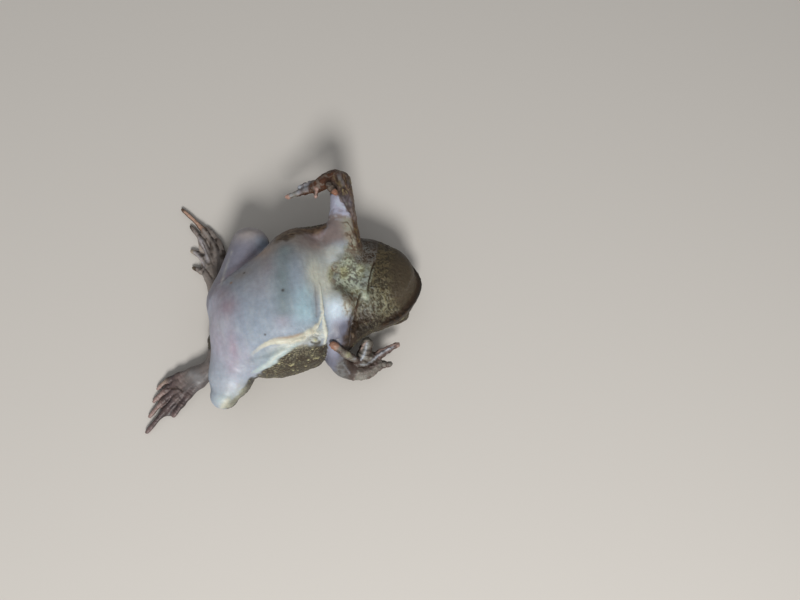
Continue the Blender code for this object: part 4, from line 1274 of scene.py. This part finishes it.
def paint_armpit(coat):
    """The fold behind the left arm, pale and brightened as a painted highlight, its branch, painted shadow
    along the crease beside it, and the wart in its corner.
    """
    paint, y, fine = coat.paint, coat.y, coat.fine
    heights, widths = (0.1, 0.4, 0.5, 0.5, 0.5, 0.5, 0.3), (0.25, 0.45, 0.55, 0.55, 0.6, 0.7, 0.8)
    # the fold's pale ridge is partly its own pale skin and partly a painted highlight
    lay_fold(coat, ARMPIT_FOLD, heights, widths, "ivory", 1.0)
    lay_fold(coat, ARMPIT_BRANCH, (0.1, 0.35, 0.35, 0.2), (0.25, 0.3, 0.35, 0.4), "ivory", 0.9)
    distance, share = coat.along(ARMPIT_CREASE)[:2]
    hollow = fade(share, 0.3, 0.8)
    coat.rise -= 0.15 * swell(distance, 0.35) * hollow
    # painted shadow along the crease beside the fold
    paint(swell(distance, 0.5) * hollow, "mauve", 0.4)
    ring = np.hypot(coat.x - ARMPIT_WART[0], 1.2 * (y - ARMPIT_WART[1])) * (1 + 0.35 * fine)
    coat.rise += coat.skyward * (0.16 * swell(ring, 0.4) - 0.08 * swell(ring - 0.8, 0.18))
    lower = ramp(0.3, -0.5, y - ARMPIT_WART[1] + 0.3 * fine)
    paint(coat.skyward * swell(ring - 0.75, 0.28) * lower, "olive", 0.9)
    paint(coat.skyward * swell(ring, 0.42), "speck", 0.9)


def paint_thigh_line(coat):
    """A thin painted highlight along the right thigh, on a low ridge."""
    fine = coat.fine
    distance = coat.along(THIGH_LINE)[0]
    coat.rise += 0.12 * swell(distance, 0.3) * (0.6 + 0.5 * fine)
    # painted highlight along the right thigh's ridge
    coat.paint(swell(distance, 0.35) * (0.6 + 0.8 * fine), "ivory", 0.4)


def paint_digit(coat, places, ridge_name, tip_name, ridge=0.6, tip=0.8, joint=0.0):
    """A finger's or toe's colours: along its upper ridge, at its tip, and at its joints."""
    paint, up, fine = coat.paint, coat.up, coat.fine
    rows = digit_path(places)
    distance, share = near_curve(coat.points, rows[:, :3])[:2]
    radius = np.interp(share, np.linspace(0, 1, len(rows)), rows[:, 3])
    mine = ramp(1.6, 1.1, distance / radius)
    top = mine * ramp(0.35, 0.95, up + 0.25 * fine) * ramp(0.1, 0.3, share)
    paint(mine * ramp(0.7, 0.2, up) * ramp(0.2, 0.5, share), "umber", 0.35)
    paint(top * (0.8 + 0.5 * fine), ridge_name, ridge)
    paint(mine * ramp(0.86, 0.95, share), tip_name, tip)
    for place in KNUCKLES:
        spot = mine * swell((share - place) / 0.05, 1.0)
        paint(spot * ramp(0.2, 0.8, up + 0.3 * fine), "umber", joint)
        coat.rise += 0.1 * spot * up * (up > 0)
    coat.rise -= 0.05 * mine * (0.5 + 0.5 * np.sin(share * 90 + 3 * fine)) * ramp(0.4, 1.0, up)
    return mine, share, top


# Ridges (height above 0) and creases (below 0) of hands, wrist and feet: height, half width, colour,
# strength, and the line in plan
LIMB_LINES = {
    ("hand", "left"): [
        (0.08, 0.3, "pink", 0.6, [(10.3, -12.6), (11.0, -11.9), (12.0, -11.3)]),
        (0.1, 0.26, "blue_white", 0.85, [(12.3, -11.3), (11.5, -13.0), (10.7, -14.3), (10.1, -15.4)]),
        (0.05, 0.2, "pink", 0.7, [(13.4, -13.8), (15.4, -13.2), (17.1, -12.9), (18.8, -12.5)]),
        (0.1, 0.24, "blue_white", 0.9, [(12.6, -15.9), (14.5, -14.6), (16.5, -13.9), (18.6, -13.1)]),
        (0.1, 0.3, "palm_pale", 0.3,
         [(8.6, -17.0), (10.4, -17.9), (12.2, -17.7), (14.1, -16.7), (16.0, -16.2)]),
        (-0.15, 0.18, "umber", 0.8, [(10.6, -15.2), (11.9, -15.9), (13.3, -16.8)]),
        (-0.12, 0.16, "umber", 0.7, [(9.0, -16.2), (10.6, -16.6), (12.2, -16.4), (13.6, -15.4)]),
        (0.06, 0.18, "blue_white", 0.4, [(9.4, -15.8), (10.8, -16.2), (12.2, -15.9), (13.4, -15.0)]),
    ],
    ("forearm", "left"): [
        (0.1, 0.2, "blue_white", 0.3, [(6.2, -15.2), (6.9, -16.4), (7.4, -17.8)]),
        (-0.08, 0.3, "umber", 0.3, [(6.3, -13.6), (6.6, -14.8), (7.3, -16.6)]),
    ],
    ("foot", "right"): [
        (0.1, 0.32, "foot_ridge", 0.9, [(-20.5, 25.0), (-19.3, 22.0), (-18.2, 18.5), (-17.5, 15.3)]),
        (0.1, 0.3, "foot_ridge", 0.7, [(-18.6, 24.8), (-17.2, 22.4), (-16.2, 18.9), (-16.1, 15.9)]),
        (0.1, 0.3, "foot_ridge", 0.85, [(-21.8, 19.4), (-20.1, 17.1), (-18.6, 14.3), (-17.9, 11.9)]),
        (0.1, 0.28, "foot_ridge", 0.8, [(-21.4, 15.4), (-19.8, 12.5), (-18.5, 9.7)]),
        (0.0, 0.5, "web_pale", 1.0,
         [(-19.5, 23.0), (-19.1, 21.0), (-18.8, 19.4), (-18.5, 17.0), (-18.3, 15.0)]),
        (0.0, 0.4, "web_pale", 0.9, [(-21.6, 19.3), (-20.7, 18.0), (-19.8, 15.8), (-19.2, 13.8)]),
        (-0.15, 0.22, "umber", 0.8, [(-18.9, 21.5), (-18.5, 18.9), (-17.7, 16.4), (-17.0, 14.1)]),
        (-0.15, 0.22, "umber", 0.8, [(-20.4, 16.0), (-18.9, 13.3), (-17.9, 10.7)]),
    ],
    ("foot", "left"): [
        (0.1, 1.1, "ash", 0.7, [(-26.6, -8.0), (-24.8, -10.0), (-23.7, -12.0)]),
        (-0.12, 0.22, "umber", 0.7, [(-31.8, -11.0), (-29.6, -11.1), (-27.7, -12.4)]),
    ],
}
PALM_PADS = [((10.4, -17.3), (1.4, 0.6)), ((8.8, -16.6), (0.7, 1.0)), ((12.9, -17.0), (1.0, 0.5))]


def paint_limb_lines(coat):
    """The single ridges and creases of hands, wrist and feet."""
    fine = coat.fine
    for part, lines in LIMB_LINES.items():
        for height, width, name, strength, line in lines:
            distance, share = coat.along(line)[:2]
            close = coat.of(part, rounds=4) * swell(distance * (1 + 0.3 * fine), width)
            close *= fade(share, 0.15, 0.85)
            coat.rise += height * close
            coat.paint(close * (0.85 + 0.5 * fine), name, strength)


def paint_palms(coat):
    """Both hands' own colours, and the left one's upturned palm with its ridges and pads."""
    paint, up, fine = coat.paint, coat.up, coat.fine
    right, left = coat.of(("hand", "right"), rounds=5), coat.of(("hand", "left"), rounds=5)
    paint(right, "hand", 0.97)
    paint(left, "palm", 0.97)
    coat.dry += 0.7 * (right + left)
    hands = right + left
    grit = coat.blots(hands, 0.6, 157, -0.1, 0.4)
    coat.rise += hands * 0.05 * (grit - 0.5)
    wrinkle = coat.within(hands, lambda p: noise(warped(p, 0.6, 175), 0.8, 177))
    paint(hands * ramp(0.0, -0.4, wrinkle), "umber", 0.5)
    paint(left * grit * ramp(-0.2, 0.3, wrinkle), "mauve", 0.55)
    paint(right * grit, "bark", 0.5)
    coat.rise += 0.1 * hands * wrinkle
    paint(hands * coat.veins(hands, 1.1, 183, 0.22) * ramp(0.0, 0.6, up), "palm_pale", 0.35)
    ridges = coat.veins(left, 0.7, 181, 0.17)
    coat.rise += 0.09 * left * ridges
    paint(left * (1 - ridges) * ramp(-19.0, -17.0, coat.y), "palm", 0.6)
    paint(left * coat.spot((10.8, -15.9), (2.8, 1.3)) * (1 - ridges), "umber", 0.6)
    paint(left * ridges * (0.8 + 0.4 * fine), "mauve", 0.6)
    heel = (left + coat.of(("forearm", "left"), rounds=5)) * coat.spot((6.6, -16.2), (0.9, 1.3))
    paint(heel * (0.6 + 0.6 * fine), "umber", 0.55)
    paint(left * coat.spot((9.8, -18.9), (2.8, 0.8)) * (0.6 + 0.5 * fine), "palm_pale", 0.5)
    for place, reach in PALM_PADS:
        pad = left * coat.patch(place, reach)
        coat.rise += 0.15 * pad
        paint(pad * (0.5 + 0.7 * fine), "palm_pale", 0.35)
    edge = left * ramp(0.0, -0.6, coat.normals[:, 1]) * ramp(15.0, 12.0, coat.x) * ramp(-0.6, 0.2, up)
    paint(edge * (0.55 + 0.7 * fine), "palm_pale", 0.7)


def paint_left_fingers(coat):
    """The upturned hand's fingers; the first one has a raised pale ridge and an orange tip, and the second
    has painted shade on its side towards the snout.
    """
    paint = coat.paint
    first, second, third, fourth = FINGERS["left"]
    mine, share, top = paint_digit(coat, first, "palm_pale", "orange", ridge=1.0, tip=0.0)
    paint(mine * ramp(0.88, 0.95, share), "orange", 0.7)
    coat.rise += 0.28 * mine * ramp(0.3, 0.5, share)
    paint(mine * ramp(0.34, 0.24, share), "palm", 0.85)
    paint(top * swell(share - 0.62, 0.12), "straw", 0.6)
    paint(top * swell(share - 0.4, 0.06), "blue_white", 0.95)
    mine, share = paint_digit(coat, second, "palm_pale", "palm_pale", ridge=0.7, tip=0.6)[:2]
    # painted shade on the second finger's side towards the snout
    paint(mine * ramp(0.0, 0.7, coat.normals[:, 0]) * ramp(0.2, 0.4, share), "umber", 0.6)
    mine, share = paint_digit(coat, third, "mauve", "pink", ridge=0.5, tip=0.35)[:2]
    paint(mine * ramp(0.2, 0.8, coat.normals[:, 1]) * ramp(0.1, 0.3, share), "pink", 0.4)
    paint_digit(coat, fourth, "palm_pale", "palm_pale", ridge=0.6, tip=0.4)


def paint_right_fingers(coat):
    """The hanging hand's fingers, pale along their upper side; the blue-white along the third and fourth
    fingers is a painted highlight.
    """
    paint = coat.paint
    first, second, third, fourth = FINGERS["right"]
    paint_digit(coat, first, "palm_pale", "orange", ridge=0.4, tip=0.65)
    paint_digit(coat, second, "pink", "pink", ridge=0.6, tip=0.6)
    # painted highlight: blue-white along the third and fourth fingers
    mine, share = paint_digit(coat, third, "blue_white", "pink", ridge=0.7, tip=0.8)[:2]
    paint(mine * swell(share - 0.75, 0.12), "palm_pale", 0.8)
    paint(mine * ramp(0.9, 0.98, share), "orange", 0.5)
    paint_digit(coat, fourth, "blue_white", "blue_white", ridge=0.6, tip=0.9)


# How pale the web is between each two toes, from the first two on, and how pink the left toes' ends are
WEB_PALE = {"right": (0.5, 0.95, 0.7, 0.3), "left": (0.3, 0.3, 0.2, 0.1)}
RIGHT_TOE_TIPS = ("toe_pale", "toe_pale", "umber", "umber", "foot")
LEFT_TOE_PINK = (0.4, 0.3, 0.3, 0.0, 0.0)
LONG_TOE = 3


def paint_feet(coat):
    """Both feet's own colours, and the webs between their toes."""
    paint = coat.paint
    right, left = coat.of(("foot", "right"), rounds=5), coat.of(("foot", "left"), rounds=5)
    paint(right, "foot", 0.97)
    paint(left, "foot_warm", 0.97)
    coat.dry += 0.5 * (right + left)
    paint(left * coat.skyward * ramp(-27.0, -24.0, coat.x), "web_blue", 0.85)
    feet = right + left
    grit = coat.blots(feet, 0.7, 161, -0.1, 0.5)
    paint(feet * grit, "mauve", 0.3)
    coat.rise += 0.03 * feet * (grit - 0.5)
    for word, foot in (("right", right), ("left", left)):
        gaps = []
        for toe in TOES[word]:
            gap, share = near_curve(coat.points, digit_path(toe)[:, :3])[:2]
            gaps.append(np.where(share > 0.3, gap, gap + 0.4))
        gaps = np.array(gaps)
        pair = np.minimum(*np.argsort(gaps, axis=0)[:2]).clip(0, 3)
        web = foot * ramp(0.65, 1.0, gaps.min(0))
        paint(web, "web_blue", 0.8)
        paint(web * np.array(WEB_PALE[word])[pair], "web", 1.0)


def paint_toes(coat):
    """The right toes with dark blots, a pink stripe along the longest one, and the left toes."""
    paint, patch, up = coat.paint, coat.patch, coat.up
    right, left = coat.of(("foot", "right"), rounds=5), coat.of(("foot", "left"), rounds=5)
    for number, toe in enumerate(TOES["right"]):
        tip_name = RIGHT_TOE_TIPS[number]
        mine, share = paint_digit(coat, toe, "foot_ridge", tip_name, ridge=0.25, tip=0.8, joint=0.9)[:2]
        dark = coat.blots(mine, 0.8, 185 + number, 0.0, 0.3, (1, 0.6, 1))
        paint(mine * dark * ramp(0.3, 0.5, share), "umber", 0.7)
        paint(mine * (1 - dark) * ramp(0.3, 0.5, share), "web", 0.35)
        if number == LONG_TOE:
            stripe = ramp(0.6, 0.9, up) * ramp(0.6, 0.68, share) * ramp(0.98, 0.94, share)
            paint(mine * ramp(0.58, 0.66, share), "bark", 0.7)
            paint(mine * stripe, "flesh", 0.8)
    paint(right * patch((-16.6, 12.6), (1.6, 3.4)), "umber", 0.45)
    for number, toe in enumerate(TOES["left"]):
        mine, share = paint_digit(coat, toe, "mauve", "mauve", ridge=0.4, tip=0.6, joint=0.3)[:2]
        paint(mine * ramp(0.0, 0.8, up) * ramp(0.6, 0.8, share), "pink", LEFT_TOE_PINK[number])
    paint(left * patch((-32.6, -8.8), (1.2, 0.7)), "toe_pale", 0.7)


def sculpt_and_paint(skin, part):
    """Moves each point along its normal for folds, grains and creases, and gives it a colour."""
    coat = Coat(skin, part)
    paint_belly(coat)
    paint_thigh(coat)
    dark = paint_throat(coat)
    paint_chin(coat)
    crease_throat(coat, dark)
    paint_mouth(coat)
    paint_right_arm(coat)
    paint_left_arm(coat)
    paint_arm_backs(coat)
    back, flank = paint_back(coat)
    sculpt_lids(coat)
    paint_right_side(coat, back)
    paint_knee_rim(coat, flank)
    paint_flank_folds(coat)
    paint_armpit(coat)
    paint_thigh_line(coat)
    paint_palms(coat)
    paint_left_fingers(coat)
    paint_right_fingers(coat)
    paint_feet(coat)
    paint_toes(coat)
    paint_limb_lines(coat)
    coat.rise += 0.012 * coat.fine
    coat.finish()


def write_colour(mesh, name, values):
    layer = mesh.attributes.new(name, "FLOAT_COLOR", "POINT")
    rgba = np.concatenate([np.clip(values, 0, 1), np.ones((len(values), 1))], 1)
    layer.data.foreach_set("color", rgba.astype(np.float32).ravel())


def write_value(mesh, name, values):
    layer = mesh.attributes.new(name, "FLOAT", "POINT")
    layer.data.foreach_set("value", np.asarray(values, np.float32))


# ---- materials -------------------------------------------------------------------------------
# Noise of the skin's fine mottling and bumps: its scale per metre and its octaves
MOTTLE, BUMPS = (900, 4), (3500, 3)
MOTTLE_RANGE = (0.9, 1.1)
BUMP_NODE = {"Strength": 0.4, "Distance": 0.0001}
ROUGHNESS_RANGE = (0.46, 0.56)         # of wet and of dry skin
SKIN_SHADER = {"Subsurface Weight": 0.12, "Subsurface Radius": (1.0, 0.55, 0.4), "Subsurface Scale": 0.001,
               "Specular IOR Level": 0.38, "Coat Weight": 0.1, "Coat Roughness": 0.33}
EYE_SHADER = {"Roughness": 0.08, "Coat Weight": 1.0, "Coat Roughness": 0.03}
FLOOR_SHADER = {"Base Color": (0.66, 0.64, 0.61, 1), "Roughness": 0.8}


def put(node, values):
    """Sets a node's inputs by name."""
    for name, value in values.items():
        node.inputs[name].default_value = value


def node_material(name, values):
    material = bpy.data.materials.new(name)
    material.use_nodes = True
    nodes, links = material.node_tree.nodes, material.node_tree.links
    put(nodes["Principled BSDF"], values)
    return material, nodes, links, nodes["Principled BSDF"]


def map_range(nodes, links, source, before, after):
    node = nodes.new("ShaderNodeMapRange")
    put(node, {"From Min": before[0], "From Max": before[1], "To Min": after[0], "To Max": after[1]})
    links.new(source, node.inputs["Value"])
    return node.outputs["Result"]


def attribute(nodes, name, output):
    node = nodes.new("ShaderNodeAttribute")
    node.attribute_name = name
    return node.outputs[output]


def noise_node(nodes, links, place, scale, detail):
    node = nodes.new("ShaderNodeTexNoise")
    put(node, {"Scale": scale, "Detail": detail})
    links.new(place, node.inputs["Vector"])
    return node.outputs["Fac"]


def skin_material():
    material, nodes, links, shader = node_material("frog_skin", SKIN_SHADER)
    place = nodes.new("ShaderNodeTexCoord").outputs["Object"]

    mottle = map_range(nodes, links, noise_node(nodes, links, place, *MOTTLE), (0.3, 0.7), MOTTLE_RANGE)
    mixed = nodes.new("ShaderNodeVectorMath")
    mixed.operation = "SCALE"
    links.new(attribute(nodes, "tint", "Color"), mixed.inputs["Vector"])
    links.new(mottle, mixed.inputs["Scale"])
    links.new(mixed.outputs["Vector"], shader.inputs["Base Color"])
    dry = attribute(nodes, "dry", "Fac")
    links.new(map_range(nodes, links, dry, (0, 1), ROUGHNESS_RANGE), shader.inputs["Roughness"])

    bump = nodes.new("ShaderNodeBump")
    put(bump, BUMP_NODE)
    links.new(noise_node(nodes, links, place, *BUMPS), bump.inputs["Height"])
    links.new(bump.outputs["Normal"], shader.inputs["Normal"])
    return material


# The pupil's half length and half height and the iris's radius, as shares of the eyeball's radius
PUPIL = (0.44, 0.30)
IRIS = 0.86
EYE_COLOUR = {"rim": (0.012, 0.008, 0.005), "iris": (0.05, 0.028, 0.010), "gold": (0.20, 0.12, 0.04),
              "ring": (0.24, 0.15, 0.05), "pupil": (0.003, 0.003, 0.003)}


def paint_eye(mesh, side):
    """A gold-flecked iris and a level oval pupil, by the direction from the eyeball's middle."""
    centre = eye_centre(side)
    away = points_of(mesh) - centre
    away /= np.linalg.norm(away, axis=1)[:, None]
    look = on_head(EYE_BACK - 0.9, side * (EYE_SIDE + 3.0), EYE_Z - 1.2) - centre
    look /= np.linalg.norm(look)
    ahead = on_head(0.0, 0.0, EYE_Z) - on_head(EYE_BACK, 0.0, EYE_Z)
    ahead -= look * (ahead @ look)
    ahead /= np.linalg.norm(ahead)
    level, height = away @ ahead, away @ np.cross(look, ahead)
    facing = away @ look > 0
    turn = np.arctan2(height, level)
    out = np.hypot(level, height)
    oval = np.hypot(level / PUPIL[0], height / PUPIL[1])
    spokes = noise(np.stack([6 * np.cos(turn), 6 * np.sin(turn), 2 * out], 1), 1.0, 189)
    flecks = noise(away, 0.09, 191)
    tint = np.tile(np.array(EYE_COLOUR["rim"]), (len(away), 1))
    for mask, name in ((ramp(IRIS, IRIS - 0.08, out), "iris"),
                       (ramp(IRIS, 0.5, out) * ramp(0.0, 0.5, spokes + 0.7 * flecks), "gold"),
                       (swell(oval - 1.12, 0.09), "ring"),
                       (ramp(1.06, 0.98, oval), "pupil")):
        tint += (mask * facing)[:, None] * (np.array(EYE_COLOUR[name]) - tint)
    write_colour(mesh, "tint", tint)


def eye_material():
    material, nodes, links, shader = node_material("frog_eye", EYE_SHADER)
    links.new(attribute(nodes, "tint", "Color"), shader.inputs["Base Color"])
    return material


# ---- pieces ----------------------------------------------------------------------------------
FLESH = ["head", "torso"] + [f"{name}_{word}" for word in ("right", "left")
                             for name in ("upper_arm", "forearm", "hand", "thigh", "shank", "tarsus", "foot")]
EYE_SEGMENTS, EYE_RINGS = 128, 64


def make_skin():
    skin, part = build_skin()
    sculpt_and_paint(skin, part)
    skin.data.shade_smooth()
    skin.data.materials.append(skin_material())
    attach(skin, "root")
    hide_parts(*FLESH)


def make_eye(side, word):
    mesh = bpy.data.meshes.new(f"eyeball_{word}")
    shape = bmesh.new()
    bmesh.ops.create_uvsphere(shape, u_segments=EYE_SEGMENTS, v_segments=EYE_RINGS, radius=EYE_R * MM)
    shape.to_mesh(mesh)
    shape.free()
    mesh.transform(Matrix.Translation(Vector(to_row(eye_centre(side)))))
    paint_eye(mesh, side)
    mesh.shade_smooth()
    eye = new_object(f"eyeball_{word}", mesh)
    mesh.materials.append(eye_material())
    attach(eye, "root")
    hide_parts(f"eye_{word}")


# ---- camera, floor and light -----------------------------------------------------------------
CAMERA_PLACE = (0.0047, -0.03964, 0.1353)
CAMERA_AIM = (0.02749, -0.00771, 0.0)
CAMERA_ROLL = math.radians(22.19)
CAMERA_LENS, CAMERA_SENSOR, CAMERA_NEAR = 27, 36, 0.005
FLOOR_HALF = 2.0
KEY_FROM, KEY_SIZE, KEY_POWER = (-0.05, -0.40, 0.34), 0.17, 2.35
KEY_COLOUR = (1.0, 0.97, 0.93)
SKY = {"Color": (0.94, 0.93, 0.92, 1), "Strength": 0.3}


def make_camera():
    camera = new_object("camera", bpy.data.cameras.new("camera"))
    camera.data.lens = CAMERA_LENS
    camera.data.sensor_width = CAMERA_SENSOR
    camera.data.clip_start = CAMERA_NEAR
    camera.location = CAMERA_PLACE
    aim = Vector(CAMERA_AIM) - Vector(CAMERA_PLACE)
    turn = aim.to_track_quat("-Z", "Y").to_matrix() @ Matrix.Rotation(CAMERA_ROLL, 3, "Z")
    camera.rotation_euler = turn.to_euler()
    bpy.context.scene.camera = camera


def make_floor():
    mesh = bpy.data.meshes.new("floor")
    corners = [(x * FLOOR_HALF, y * FLOOR_HALF, 0) for x, y in ((-1, -1), (1, -1), (1, 1), (-1, 1))]
    mesh.from_pydata(corners, [], [(0, 1, 2, 3)])
    mesh.materials.append(node_material("floor_paper", FLOOR_SHADER)[0])
    new_object("floor", mesh)


def make_light():
    """A round soft light from the photo's side of the sky, and a pale sky all round."""
    lamp = bpy.data.lights.new("key", "AREA")
    lamp.shape = "DISK"
    lamp.size = KEY_SIZE
    lamp.energy = KEY_POWER
    lamp.color = KEY_COLOUR
    light = new_object("key", lamp)
    light.location = KEY_FROM
    light.rotation_euler = (-Vector(KEY_FROM)).to_track_quat("-Z", "Y").to_euler()
    world = bpy.data.worlds.new("studio")
    world.use_nodes = True
    put(world.node_tree.nodes["Background"], SKY)
    bpy.context.scene.world = world
    bpy.context.scene.view_settings.view_transform = "Standard"


make_camera()
make_floor()
make_light()
make_skin()
for side, word in ((1, "right"), (-1, "left")):
    make_eye(side, word)
